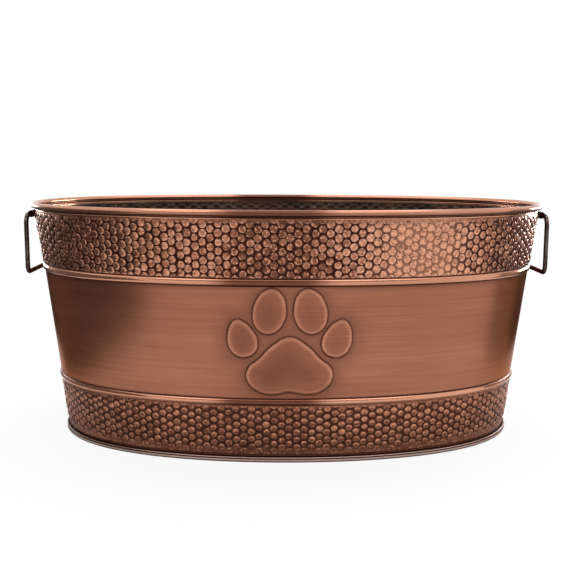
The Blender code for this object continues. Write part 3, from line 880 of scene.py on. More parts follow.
@dataclass(frozen=True)
class Hammering:
    """The die's pattern: round, slightly dished bumps in upright columns, every second one half a pitch up.

    The ring shares run from a bump's cell to its innermost ring: how far out each ring lies, how high, and
    how much groove and wear it has.
    """

    spacing: float
    pitch: float
    seed: int
    width_share: float
    rise: float = 0.0009
    corners: int = 12
    reach_shares: tuple[float, ...] = (1.0, 0.93, 0.86, 0.72, 0.42)
    rise_shares: tuple[float, ...] = (0.0, 0.20, 0.54, 0.80, 0.96)
    groove_shares: tuple[float, ...] = (1.0, 0.9, 0.4, 0.0, 0.0)
    wear_shares: tuple[float, ...] = (0.0, 0.1, 0.9, 1.0, 0.5)
    centre_share: float = 1.0
    centre_wear_share: float = 0.1
    corner_share: float = -0.08
    shift: float = 0.00030
    size_spread: float = 0.05
    size_limits: tuple[float, float] = (0.88, 1.04)
    rise_spread: float = 0.15
    rise_limits: tuple[float, float] = (0.65, 1.25)
    tilt_spread: float = 0.09

    def bump(self) -> tuple[Points, Points, list[tuple[int, ...]]]:
        """Model one bump on its six-sided cell, with rings set in and raised one after another.

        Returns:
            Its points, as high as a share of the bump's rise, how far from its middle each lies as a share
            of its radius, and its faces.
        """
        Bench.focus()
        radius = self.pitch / 2
        flat_share = math.cos(math.pi / self.corners)
        bpy.ops.mesh.primitive_circle_add(vertices=self.corners, radius=radius, fill_type="NGON")
        cell = Bench.take("bump")
        Bench.edit(cell)
        for ring in range(1, len(self.reach_shares)):
            width = (self.reach_shares[ring - 1] - self.reach_shares[ring]) * radius * flat_share
            bpy.ops.mesh.inset(thickness=width, depth=self.rise_shares[ring] - self.rise_shares[ring - 1])
        bpy.ops.mesh.poke(offset=self.centre_share - self.rise_shares[-1])
        Bench.close()
        places = Bench.read(cell)
        reaches = np.hypot(places[:, 0], places[:, 1]) / radius
        faces = [tuple(face.vertices) for face in cell.data.polygons]
        bpy.data.objects.remove(cell, do_unlink=True)
        return self._to_cell(places, radius), reaches, faces

    def _to_cell(self, places: Points, radius: float) -> Points:
        """Move the outermost ring onto the six-sided cell's edge and fit the cell to the columns.

        Args:
            places: the bump's points.
            radius: its radius.

        Returns:
            The points in their new places.
        """
        reach = np.hypot(places[:, 0], places[:, 1])
        turn = np.round(np.arctan2(places[:, 1], places[:, 0]) / (math.tau / self.corners)).astype(int)
        outermost = reach > radius * (self.reach_shares[0] + self.reach_shares[1]) / 2
        corner = turn % 2 == 0
        cell_reach = np.where(corner, radius / math.cos(math.pi / 6), radius)
        angle = turn * math.tau / self.corners
        places[:, 0] = np.where(outermost, cell_reach * np.cos(angle), places[:, 0])
        places[:, 1] = np.where(outermost, cell_reach * np.sin(angle), places[:, 1])
        places[:, 2] = np.where(outermost & corner, self.corner_share, places[:, 2])
        places[:, 0] *= self.spacing / (self.pitch * math.cos(math.pi / 6))
        return places

    def _centres(self, span: Span, low: float, high: float) -> Points:
        """The middles of all the bumps on a blank; the middle column starts with a whole bump.

        Args:
            span: where the blank starts and ends.
            low: the height of its lower edge.
            high: the height of its upper edge.

        Returns:
            The middles, one row each.
        """
        columns = np.arange(math.floor(span.low / self.spacing) - 1, math.ceil(span.high / self.spacing) + 2)
        rows = np.arange(-1, math.ceil((high - low) / self.pitch) + 2)
        column, row = (numbers.ravel() for numbers in np.meshgrid(columns, rows, indexing="ij"))
        up = low + self.pitch / 2 + (row + (column % 2) / 2) * self.pitch
        near = (up > low - self.pitch) & (up < high + self.pitch)
        return np.stack((column * self.spacing, up), axis=1)[near]

    def blank(self, name: str, span: Span, low: float, high: float) -> Piece:
        """Lay bumps side by side over a flat blank, no two quite alike, and trim it square.

        Args:
            name: the piece's name.
            span: where the blank starts and ends.
            low: the height of its lower edge.
            high: the height of its upper edge.

        Returns:
            The flat blank, with the depth of its grooves, the wear of its tops and each bump's tone kept
            on its points.
        """
        cell, reaches, faces = self.bump()
        centres = self._centres(span, low, high)
        count = len(centres)
        random = np.random.default_rng(self.seed)
        shift = random.normal(0, self.shift, (count, 1, 2))
        size = 1 + random.normal(0, self.size_spread, (count, 1, 1))
        size = self.width_share * np.clip(size, *self.size_limits)
        rise = np.clip(1 + random.normal(0, self.rise_spread, (count, 1)), *self.rise_limits)
        tilt = random.normal(0, self.tilt_spread, (count, 1, 2))
        tone = random.uniform(-0.5, 0.5, (count, 1))
        inner = np.arange(len(cell)) >= self.corners
        flat = np.where(inner[None, :, None], cell[None, :, :2] * size + shift, cell[None, :, :2])
        lean = (cell[None, :, :2] * tilt).sum(axis=2) * np.clip(cell[None, :, 2], 0, 1)
        up = cell[None, :, 2] * rise * self.rise + lean
        places = np.concatenate((flat + centres[:, None, :], up[..., None]), axis=2).reshape(-1, 3)
        starts = range(0, count * len(cell), len(cell))
        mesh = bpy.data.meshes.new(name)
        laid = [[index + start for index in face] for start in starts for face in faces]
        mesh.from_pydata(places.tolist(), [], laid)
        blank = Bench.hang(name, mesh)
        rings = (*self.reach_shares, 0.0)[::-1]
        for mark, shares, centre in (
            ("groove", self.groove_shares, 0.0), ("wear", self.wear_shares, self.centre_wear_share)
        ):
            values = np.interp(reaches, rings, (*shares, centre)[::-1])
            Bench.mark(blank, mark, np.broadcast_to(values, (count, len(cell))).ravel())
        Bench.mark(blank, "tone", (tone * inner[None, :]).ravel())
        self._trim(blank, span, low, high)
        return blank

    def _trim(self, blank: Piece, span: Span, low: float, high: float) -> None:
        """Weld the bumps together, cut the blank along its four edges and keep what holds its middle.

        Args:
            blank: the blank.
            span: where the blank starts and ends.
            low: the height of its lower edge.
            high: the height of its upper edge.
        """
        Bench.edit(blank)
        bpy.ops.mesh.remove_doubles(threshold=BLANK_MERGE)
        Bench.cut((span.low, 0, 0), (-1, 0, 0), away=True)
        Bench.cut((span.high, 0, 0), (1, 0, 0), away=True)
        Bench.cut((0, low, 0), (0, -1, 0), away=True)
        Bench.cut((0, high, 0), (0, 1, 0), away=True)
        bpy.ops.mesh.select_all(action="SELECT")
        bpy.ops.mesh.dissolve_degenerate(threshold=BLANK_MERGE)
        Bench.close()
        places = Bench.read(blank)
        gaps = np.hypot(places[:, 0] - (span.low + span.high) / 2, places[:, 1] - (low + high) / 2)
        Bench.pick(blank, gaps == gaps.min())
        bpy.ops.mesh.select_linked()
        bpy.ops.mesh.select_all(action="INVERT")
        bpy.ops.mesh.delete(type="VERT")
        Bench.close()


@dataclass(frozen=True)
class Bead:
    """A half-round bead swaged out of the wall."""

    height: float
    width: float = 0.0064
    proud: float = 0.0020
    segments: int = 14

    @property
    def low(self) -> float:
        """Its lower edge."""
        return self.height - self.width / 2

    @property
    def high(self) -> float:
        """Its upper edge."""
        return self.height + self.width / 2

    def profile(self, tub: TubShape) -> Profile:
        """Draw the bead's middle line.

        Args:
            tub: the tub's shape.

        Returns:
            Its insets and heights.
        """
        lower = Vector((tub.middle(self.low), self.low))
        upper = Vector((tub.middle(self.high), self.high))
        half = (upper - lower) / 2
        radius = (half.length_squared + self.proud ** 2) / (2 * self.proud)
        spread = math.atan2(half.length, radius - self.proud)
        outward = Vector((-half.y, half.x)).normalized()
        centre = (lower + upper) / 2 - outward * (radius - self.proud)
        points = []
        for step in range(self.segments + 1):
            swing = spread * (2 * step / self.segments - 1)
            point = centre + outward * radius * math.cos(swing) + half.normalized() * radius * math.sin(swing)
            points.append((point.x, point.y))
        return points


def arc(centre: tuple[float, float], radius: float, start: float, end: float, segments: int) -> Profile:
    """Return points of an arc in a profile; angle zero points inward and a quarter turn points up."""
    angles = [start + (end - start) * step / segments for step in range(segments + 1)]
    return [(centre[0] + radius * math.cos(angle), centre[1] + radius * math.sin(angle)) for angle in angles]


def grid(name: str, places: Points) -> Piece:
    """Make a surface from a grid.

    Args:
        name: the piece's name.
        places: where its points go, in rows and columns.

    Returns:
        The open surface.
    """
    Bench.focus()
    rows, columns, _ = places.shape
    bpy.ops.mesh.primitive_grid_add(x_subdivisions=columns - 1, y_subdivisions=rows - 1)
    piece = Bench.take(name)
    Bench.write(piece, places.reshape(-1, 3))
    return piece


def swept_sheet(name: str, tub: TubShape, profile: Profile, angles: Points) -> Piece:
    """Sweep a profile round the tub as an open surface.

    Args:
        name: the piece's name.
        tub: the tub's shape.
        profile: inset and height of the sheet's middle line.
        angles: the angles of the sweep's columns.

    Returns:
        The surface.
    """
    shape = np.array(profile)
    return grid(name, tub.place(angles[None, :], shape[:, :1], shape[:, 1:]))


def swept_ring(name: str, tub: TubShape, profile: Profile) -> Piece:
    """Sweep a profile once round the tub and close it.

    Args:
        name: the piece's name.
        tub: the tub's shape.
        profile: inset and height of the sheet's middle line.

    Returns:
        The ring.
    """
    piece = swept_sheet(name, tub, profile, np.linspace(0, math.tau, RING_COLUMNS + 1))
    Bench.merge(piece)
    return piece


def flat_grid(name: str, ends: tuple[float, float], low: float, high: float, step: float, rows: int) -> Piece:
    """Make a flat stretch of blank from a grid.

    Args:
        name: the piece's name.
        ends: where it starts and ends.
        low: its lower edge.
        high: its upper edge.
        step: the width of its columns.
        rows: how many rows it has.

    Returns:
        The flat stretch.
    """
    columns = max(1, round((ends[1] - ends[0]) / step))
    across, up = np.meshgrid(np.linspace(*ends, columns + 1), np.linspace(low, high, rows + 1))
    return grid(name, np.stack((across, up, np.zeros_like(up)), axis=-1))


@dataclass(frozen=True)
class Paw:
    """The embossed paw, drawn on the flat blank between the two beads.

    A toe's shares are its width, its height, and how far out and up its middle lies, as shares of the paw's
    height. Its tilt is how far it leans, and its taper how much narrower its upper half is than an ellipse.
    """

    foot: float
    top: float
    relief: float = 0.0012
    dip: float = 0.00035
    crown_width: float = 0.0030
    groove_reach: float = 0.0012
    toe_segments: int = 6
    pad_segments: int = 9
    toe_tilts: tuple[float, float] = (math.radians(10), math.radians(-17))
    toe_tapers: tuple[float, float] = (0.07, 0.20)
    toe_knots: int = 10
    inner_toe_shares: Shares = (0.303, 0.432, 0.180, 0.785)
    outer_toe_shares: Shares = (0.270, 0.370, 0.430, 0.533)
    pad_width_share: float = 0.801
    pad_height_share: float = 0.554
    pad_outline_shares: Lines = (
        (0.000, 1.000),
        (0.415, 0.845),
        (0.700, 0.630),
        (0.955, 0.460),
        (0.975, 0.240),
        (0.700, 0.040),
        (0.400, 0.000),
        (0.000, 0.042),
    )

    @property
    def tall(self) -> float:
        """The paw's height."""
        return self.top - self.foot

    def _toe(self, shares: Shares, tilt: float, taper: float, side: int) -> list[Vector]:
        """The points of a toe, an egg with its narrow end up.

        Args:
            shares: its width, height and place.
            tilt: how far it leans.
            taper: how much it narrows.
            side: 1 for a toe on the right, -1 for one on the left.

        Returns:
            The points, in order round the toe.
        """
        width, height, out, up = (share * self.tall for share in shares)
        turn = Matrix.Rotation(tilt * side, 2)
        centre = Vector((out * side, self.foot + up))
        points = []
        for knot in range(self.toe_knots):
            angle = math.tau * knot / self.toe_knots
            across = width / 2 * math.sin(angle) * (1 - taper * math.cos(angle))
            points.append(centre + turn @ Vector((across, height / 2 * math.cos(angle))))
        return points

    def _pad(self) -> list[Vector]:
        """Draw the main pad.

        Returns:
            Its points, in order round it.
        """
        half_width = self.tall * self.pad_width_share / 2
        height = self.tall * self.pad_height_share
        half = [Vector((half_width * x, self.foot + height * z)) for x, z in self.pad_outline_shares]
        return half + [Vector((-point.x, point.y)) for point in half[-2:0:-1]]

    def outlines(self) -> list[Points]:
        """Draw the four toes and the pad on the blank.

        Returns:
            Their outlines, as closed rows of points.
        """
        shapes = [self._smooth(self._pad(), self.pad_segments)]
        kinds = list(zip((self.inner_toe_shares, self.outer_toe_shares), self.toe_tilts, self.toe_tapers))
        for side in Side:
            shapes += [self._smooth(self._toe(*kind, side.value), self.toe_segments) for kind in kinds]
        return shapes

    def _smooth(self, points: list[Vector], segments: int) -> Points:
        """Draw a smooth closed curve through points.

        Args:
            points: the points.
            segments: how many steps lie between two of them.

        Returns:
            The curve's points.
        """
        curve = bpy.data.curves.new("outline", "CURVE")
        curve.dimensions = "2D"
        curve.fill_mode = "NONE"
        spline = curve.splines.new("BEZIER")
        spline.resolution_u = segments
        spline.bezier_points.add(len(points) - 1)
        for knot, point in zip(spline.bezier_points, points):
            knot.co = point.to_3d()
            knot.handle_left_type = knot.handle_right_type = "AUTO"
        spline.use_cyclic_u = True
        drawn = Bench.hang("outline", curve)
        bpy.context.view_layer.update()
        mesh = drawn.evaluated_get(bpy.context.evaluated_depsgraph_get()).to_mesh()
        places = np.array([tuple(vert.co) for vert in mesh.vertices])[:, :2]
        bpy.data.objects.remove(drawn, do_unlink=True)
        return places

    def widened(self, outline: Points) -> Points:
        """Move an outline out to where its groove starts.

        Args:
            outline: the outline.

        Returns:
            The wider outline.
        """
        run = np.roll(outline, -1, axis=0) - np.roll(outline, 1, axis=0)
        run /= np.linalg.norm(run, axis=1)[:, None]
        outward = np.stack((run[:, 1], -run[:, 0]), axis=1)
        turned = np.sign(((outline - outline.mean(axis=0)) * outward).sum())
        return outline + turned * outward * self.groove_reach

    def depth(self, flat: Points, outlines: list[Points]) -> Points:
        """Measure how deep points lie inside the nearest outline.

        Args:
            flat: points of the blank.
            outlines: the outlines.

        Returns:
            The depths, which are negative outside.
        """
        best = np.full(len(flat), -1.0)
        for loop in outlines:
            end = np.roll(loop, -1, axis=0)
            run = end - loop
            offset = flat[:, None, :2] - loop[None]
            share = np.clip((offset * run).sum(-1) / (run ** 2).sum(-1), 0, 1)
            gap = np.linalg.norm(offset - share[..., None] * run, axis=-1).min(axis=1)
            above = (loop[None, :, 1] > flat[:, None, 1]) != (end[None, :, 1] > flat[:, None, 1])
            rise = np.where(run[:, 1] == 0, MERGE, run[:, 1])
            cross = loop[None, :, 0] + run[None, :, 0] * (flat[:, None, 1] - loop[None, :, 1]) / rise
            inside = (above & (flat[:, None, 0] < cross)).sum(axis=1) % 2 == 1
            best = np.maximum(best, np.where(inside, gap, -gap))
        return best

    def relief_at(self, depth: Points) -> Points:
        """The height of the sheet at a depth inside the outlines.

        Args:
            depth: depths inside the outlines.

        Returns:
            The heights.
        """
        dip = -self.dip * ease(depth, -self.groove_reach, 0.0)
        crown = np.sqrt(1 - (1 - np.clip(depth / self.crown_width, 0, 1)) ** 2)
        return np.where(depth > 0, -self.dip + (self.relief + self.dip) * crown, dip)


@dataclass(frozen=True)
class PawBlank:
    """The front panel's plain blank with the paw's five pads pressed into it."""

    paw: Paw
    half_width: float = 0.0600
    column_step: float = 0.0040
    side_column_step: float = 0.0045
    rows: int = 16
    ring_widths: tuple[float, ...] = (
        0.0005, 0.0004, 0.0003, 0.0003, 0.0004, 0.0005, 0.0006, 0.0007, 0.0009, 0.0016
    )
    groove_width: float = 0.0012
    groove_share: float = 0.6
    worn_share: float = 0.4
    worn_spans: Lines = ((0.0004, 0.0016), (0.0018, 0.0048))
    tone_steps: Patches = ((-0.35, 0.0020, 0.0060), (-0.15, 0.0080, 0.0180))
    # How fast the painted shade round the pads fades.
    painted_shade_fade: float = 0.008

    def _pad(self, outline: Points) -> Piece:
        """Model one pad: a filled outline with rings set in from its edge.

        Args:
            outline: the pad's outline.

        Returns:
            The pad.
        """
        Bench.focus()
        bpy.ops.mesh.primitive_circle_add(vertices=len(outline), fill_type="NGON")
        pad = Bench.take("pad")
        Bench.write(pad, np.column_stack((outline, np.zeros(len(outline)))))
        Bench.edit(pad)
        bpy.ops.mesh.normals_make_consistent(inside=False)
        for width in self.ring_widths:
            bpy.ops.mesh.inset(thickness=width, depth=0.0)
        Bench.close()
        return pad

    def _ground(self, outlines: list[Points], low: float, high: float) -> Piece:
        """Fill the blank round the pads.

        Args:
            outlines: the pads' outlines.
            low: the height of its lower edge.
            high: the height of its upper edge.

        Returns:
            The blank, with a hole for each pad.
        """
        curve = bpy.data.curves.new("ground", "CURVE")
        curve.dimensions = "2D"
        curve.fill_mode = "BOTH"
        half = self.half_width
        for loop in [np.array([(-half, low), (half, low), (half, high), (-half, high)])] + outlines:
            spline = curve.splines.new("POLY")
            spline.points.add(len(loop) - 1)
            for point, place in zip(spline.points, loop):
                point.co = (place[0], place[1], 0, 1)
            spline.use_cyclic_u = True
        Bench.focus(Bench.hang("ground", curve))
        bpy.ops.object.convert(target="MESH")
        return bpy.context.active_object

    def make(self, name: str, span: Span, low: float, high: float) -> Piece:
        """Make the blank with its paw pressed in.

        Args:
            name: the piece's name.
            span: where the blank starts and ends.
            low: its lower edge.
            high: its upper edge.

        Returns:
            The blank, still flat but for the paw, with its marks kept on its points.
        """
        outlines = self.paw.outlines()
        wide = [self.paw.widened(outline) for outline in outlines]
        middle = Bench.join(self._ground(wide, low, high), *(self._pad(outline) for outline in wide))
        self._rule(middle, low, high)
        ends = (span.low, -self.half_width), (self.half_width, span.high)
        sides = [flat_grid("side", end, low, high, self.side_column_step, self.rows) for end in ends]
        blank = Bench.join(middle, *sides)
        blank.name = blank.data.name = name
        self._face_up(blank)
        flat = Bench.read(blank)
        depth = self.paw.depth(flat, outlines)
        flat[:, 2] = self.paw.relief_at(depth)
        Bench.write(blank, flat)
        Bench.mark(blank, "groove", self.groove_share * (1 - ease(np.abs(depth), 0.0, self.groove_width)))
        # Painted shade round and between the paw's pads.
        Bench.mark(blank, "halo", np.where(depth < 0, np.exp(depth / self.painted_shade_fade), 0.0))
        grow, fade = self.worn_spans
        Bench.mark(blank, "wear", self.worn_share * ease(depth, *grow) * (1 - ease(depth, *fade)))
        Bench.mark(blank, "tone", sum(share * ease(depth, *span) for share, *span in self.tone_steps))
        return blank

    def _rule(self, piece: Piece, low: float, high: float) -> None:
        """Cut the blank into narrow columns and rows, so that it can be rolled.

        Args:
            piece: the blank.
            low: the height of its lower edge.
            high: the height of its upper edge.
        """
        columns = round(2 * self.half_width / self.column_step)
        Bench.edit(piece)
        for step in range(1, columns):
            Bench.cut((-self.half_width + 2 * self.half_width * step / columns, 0, 0), (1, 0, 0))
        for step in range(1, self.rows):
            Bench.cut((0, low + (high - low) * step / self.rows, 0), (0, 1, 0))
        Bench.close()

    @staticmethod
    def _face_up(piece: Piece) -> None:
        """Turn every face of the flat blank to the same side, up.

        Args:
            piece: the blank.
        """
        Bench.merge(piece, outward=True)
        if sum(face.normal.z for face in piece.data.polygons) < 0:
            Bench.edit(piece)
            bpy.ops.mesh.flip_normals()
            Bench.close()


@dataclass(frozen=True)
class Wall:
    """One panel of the tub: its rolled rim, two hammered bands, two beads, plain band and hooked foot."""

    tub: TubShape
    panel: Panel
    upper_bead: Bead
    lower_bead: Bead
    seed: int
    bump_spacing: float = 0.00674
    upper_pitch: float = 0.00780
    lower_pitch: float = 0.00725
    upper_fades: tuple[float, float] = (0.0022, 0.0052)
    lower_fades: tuple[float, float] = (0.0100, 0.0032)
    lap_clearance: float = 0.0015
    butt_share: float = 0.8
    ear_half_width: float = 0.0240
    ear_foot: float = 0.1955
    ear_side_fade: tuple[float, float] = (0.0005, 0.004)
    ear_foot_fade: tuple[float, float] = (0.0045, 0.001)
    neck_drop: float = 0.0079
    column_step: float = 0.0045
    rows: int = 16
    roll_segments: int = 26
    roll_start: float = -0.35
    hook_segments: int = 10
    rim_overlap: float = 0.0004
    neck_foot: float = 0.0007
    # Patina with painted shade in the neck under the roll, and painted shade on the roll's lower half.
    rim_patina_and_shade: Lines = ((0.0014, 0.0008), (0.0020, 0.0014))
    # Painted shade on the roll's lower half.
    rim_shade: Lines = ((0.0030, 0.0028),)
    # A painted highlight along the shoulder.
    rim_painted_highlight: Lines = ((0.0001, 0.0012),)
    # Dark lines of patina with painted shade where bands, beads, plain band and foot meet.
    band_patina_and_shade: float = 0.0014
    bead_patina_and_shade: float = 0.0010
    foot_patina_and_shade: float = 0.0016
    plain_patina_and_shade: tuple[float, float] = (0.0015, 0.0011)
    # Painted shade beside the beads on the plain band, and along the hammered bands' upper edges.
    plain_shade: tuple[float, float] = (0.0030, 0.0075)
    shade_share: float = 0.65
    shade_reach: float = 0.0045
    shoulder_round: Lines = ((0.00006, -0.0001), (0.00022, 0.00018), (0.00046, 0.00042), (0.00076, 0.00060))
    paw_foot_clearance: float = 0.0038
    paw_top_clearance: float = 0.0012
    # Painted reflection: the rim and the beads are darkened in the middle, where their highlight is dimmer.
    middle_painted_reflection: Patches = ((-0.015, 0.08, 0.75),)
    # Patches on the upper band: the darker ones are partly uneven patina and partly painted reflection; the
    # one with negative strength is a painted light reflection.
    upper_dim_places: Patches = (
        (-0.205, 0.05, 0.3), (-0.01, 0.095, 0.50), (0.115, 0.078, -0.65), (0.205, 0.06, 0.5)
    )
    # Darker patches on the lower band: partly uneven patina, partly painted reflection.
    lower_dim_places: Patches = ((-0.15, 0.07, 0.05), (-0.02, 0.14, 0.12), (0.15, 0.07, 0.2))

    @property
    def foot_top(self) -> float:
        """Where the foot ends and the lower hammered band starts."""
        return self.tub.seam_height + self.lap_clearance

    def _name(self, word: str) -> str:
        """The name of one of the panel's pieces."""
        return self.panel.value + "_" + word

    def _finish(self, piece: Piece, offset: float, lines: Lines, plain: bool = True, **looks: object) -> None:
        """Give an open surface the sheet's thickness and dress it.

        Args:
            piece: the surface.
            offset: -1 where the sheet lies inside the surface, and 0 where it lies on both sides.
            lines: the heights of the dark lines of patina and painted shade at joints, each with its width.
            plain: whether the faces inside the tub are dull.
            looks: what its copper has otherwise than usual.
        """
        copper = [AntiqueCopper(piece.name, patina_and_shade_lines=lines, **looks).make()]
        if plain:
            copper.append(DullCopper(piece.name + "_inside").make())
            piece.data.materials.append(None)
            piece.data.materials.append(None)
        Bench.apply(piece, "SOLIDIFY", thickness=self.tub.sheet, offset=offset, material_offset=1)
        Bench.finish(piece, "tub", self.panel.value, "patinated_copper", *copper)

    def _swept(self, word: str, profile: Profile) -> Piece:
        """Sweep a profile along the panel; the front one's ends nearly meet the rear one's.

        Args:
            word: the piece's word.
            profile: inset and height of the sheet's middle line.

        Returns:
            The open surface.
        """
        start, step, _ = self.tub.seam_angles()
        ruler = self.tub.ruler(self.tub.shoulder_inset)
        low, high = step, math.pi - step
        if self.panel is Panel.FRONT:
            trim = (step - start) * self.butt_share
            low, high = -math.pi - start - trim, start + trim
        count = round(float(ruler.length(high) - ruler.length(low)) / self.column_step)
        angles = ruler.angle(np.linspace(ruler.length(low), ruler.length(high), count + 1))
        return swept_sheet(self._name(word), self.tub, profile, angles)

    def _ear_calm(self, flat: Points, ruler: Ruler) -> Points:
        """Fade to 0 under the ears.

        Args:
            flat: points of the blank.
            ruler: the blank's ruler.

        Returns:
            A share for each point.
        """
        if self.panel is Panel.REAR:
            return np.ones(len(flat))
        end = float(ruler.length(0.0))
        sides = (self.ear_half_width + gap for gap in self.ear_side_fade)
        beside = ease(np.abs(np.abs(flat[:, 0]) - end), *sides)
        below = 1 - ease(flat[:, 1], *(self.ear_foot - gap for gap in self.ear_foot_fade))
        return np.maximum(beside, below)

    def hammered_band(
        self,
        word: str,
        low: float,
        high: float,
        pitch: float,
        fades: tuple[float, float],
        width_share: float = 1.0,
        **looks: object,
    ) -> None:
        """Make one hammered band.

        Args:
            word: the band's name.
            low: its lower edge.
            high: its upper edge.
            pitch: how far apart its bumps lie in a column.
            fades: how far from its lower and upper edges the bumps fade out.
            width_share: how wide the bumps are, as a share of the full width.
            looks: what its copper has otherwise than usual.
        """
        ruler = self.tub.ruler(float(self.tub.outer((low + high) / 2)))
        span = self.tub.span(self.panel, ruler)
        columns = 2 * round(ruler.around / self.bump_spacing / 2)
        hammering = Hammering(ruler.around / columns, pitch, self.seed, width_share)
        piece = hammering.blank(self._name(word), span, low, high)
        flat = Bench.read(piece)
        calm = ease(flat[:, 1], low, low + fades[0]) * (1 - ease(flat[:, 1], high - fades[1], high))
        calm = calm * span.away_from_seam(flat[:, 0]) * self._ear_calm(flat, ruler)
        marks = piece.data.attributes["groove"].data
        groove = np.zeros(len(flat), dtype=np.float32)
        marks.foreach_get("value", groove)
        marks.foreach_set("value", (groove * calm).astype(np.float32))
        # Painted shade along the band's upper edge, under the rim or the bead above it.
        shade = np.exp(-(((high - flat[:, 1]) / self.shade_reach) ** 2))
        Bench.mark(piece, "halo", self.shade_share * shade)
        flat[:, 2] = np.maximum(flat[:, 2], 0) * calm + span.seam_lift(flat[:, 0])
        Bench.write(piece, self.tub.wrap(flat, ruler))
        Bench.merge(piece)
        self._finish(piece, -1.0, ((low, self.band_patina_and_shade),), rubbing=0.1, roughness=0.27, **looks)

    def bead(self, word: str, bead: Bead) -> None:
        """Make one bead.

        Args:
            word: the piece's word.
            bead: the bead.
        """
        piece = self._swept(word, bead.profile(self.tub))
        looks = {"roughness": 0.15, "rubbing": 0.1, "polish": 0.35, "dim_places": self.middle_painted_reflection}
        self._finish(piece, 0.0, ((bead.low, self.bead_patina_and_shade), (bead.high, self.bead_patina_and_shade)), **looks)

    def rim(self) -> None:
        """Make the shoulder, the neck under the rim and the roll round the rim wire."""
        tub = self.tub
        shoulder = tub.shoulder
        line = tub.middle(shoulder)
        starts = tub.height - self.neck_drop, shoulder - self.rim_overlap
        profile = [(tub.middle(height), height) for height in starts]
        profile += [(line + inset, shoulder + rise) for inset, rise in self.shoulder_round]
        profile += [(line + tub.neck_depth, shoulder + self.neck_foot)]
        profile += arc(tub.roll_centre, tub.roll_radius, self.roll_start, 1.5 * math.pi, self.roll_segments)
        self._finish(
            self._swept("rim", profile),
            0.0,
            raised(self.rim_patina_and_shade, shoulder),
            plain=False,
            roughness=0.15,
            rubbing=0.1,
            polish=0.3,
            dim_places=self.middle_painted_reflection,
            shade_lines=raised(self.rim_shade, shoulder),
            bright_lines=raised(self.rim_painted_highlight, shoulder),
        )

    def foot(self) -> None:
        """Make the wall's foot, which turns up as a hook inside the base pan's fold."""
        tub = self.tub
        line = tub.foot_line
        profile = [(line - 2 * tub.layer, tub.hook_height)]
        profile += arc((line - tub.layer, tub.foot_turn), tub.layer, math.pi, math.tau, self.hook_segments)
        profile += [(line, tub.seam_height), (tub.middle(self.foot_top), self.foot_top)]
        self._finish(self._swept("foot", profile), 0.0, ((tub.seam_height, self.foot_patina_and_shade),))

    def plain_band(self) -> None:
        """Make the plain band; the front one carries the paw."""
        low, high = self.lower_bead.high, self.upper_bead.low
        ruler = self.tub.ruler(float(self.tub.outer((low + high) / 2)))
        span = self.tub.span(self.panel, ruler)
        name = self._name("plain_band")
        if self.panel is Panel.FRONT:
            paw = Paw(low + self.paw_foot_clearance, high - self.paw_top_clearance)
            piece = PawBlank(paw).make(name, span, low, high)
        else:
            piece = flat_grid(name, (span.low, span.high), low, high, self.column_step, self.rows)
        flat = Bench.read(piece)
        flat[:, 2] += span.seam_lift(flat[:, 0])
        Bench.write(piece, self.tub.wrap(flat, ruler))
        looks = {"rubbing": 0.8, "tone_share": 0.8, "edge": tint(226, 188, 168)}
        looks["shade_lines"] = tuple(zip((low, high), self.plain_shade))
        self._finish(piece, -1.0, tuple(zip((low, high), self.plain_patina_and_shade)), **looks)

    def make(self) -> None:
        """Make all of the panel's pieces."""
        upper, lower = self.upper_bead, self.lower_bead
        looks = {"dim_places": self.upper_dim_places, "speckle": 13.0}
        lower_looks = {"dim_places": self.lower_dim_places, "speckle": 9.0, "width_share": 0.91}
        lower_looks |= {"groove_share": 0.75, "wear_share": 0.22, "tone_share": 0.24}
        neck = self.tub.height - self.neck_drop
        self.rim()
        self.hammered_band("upper_band", upper.high, neck, self.upper_pitch, self.upper_fades, **looks)
        self.bead("upper_bead", upper)
        self.plain_band()
        self.bead("lower_bead", lower)
        self.hammered_band(
            "lower_band", self.foot_top, lower.low, self.lower_pitch, self.lower_fades, **lower_looks
        )
        self.foot()


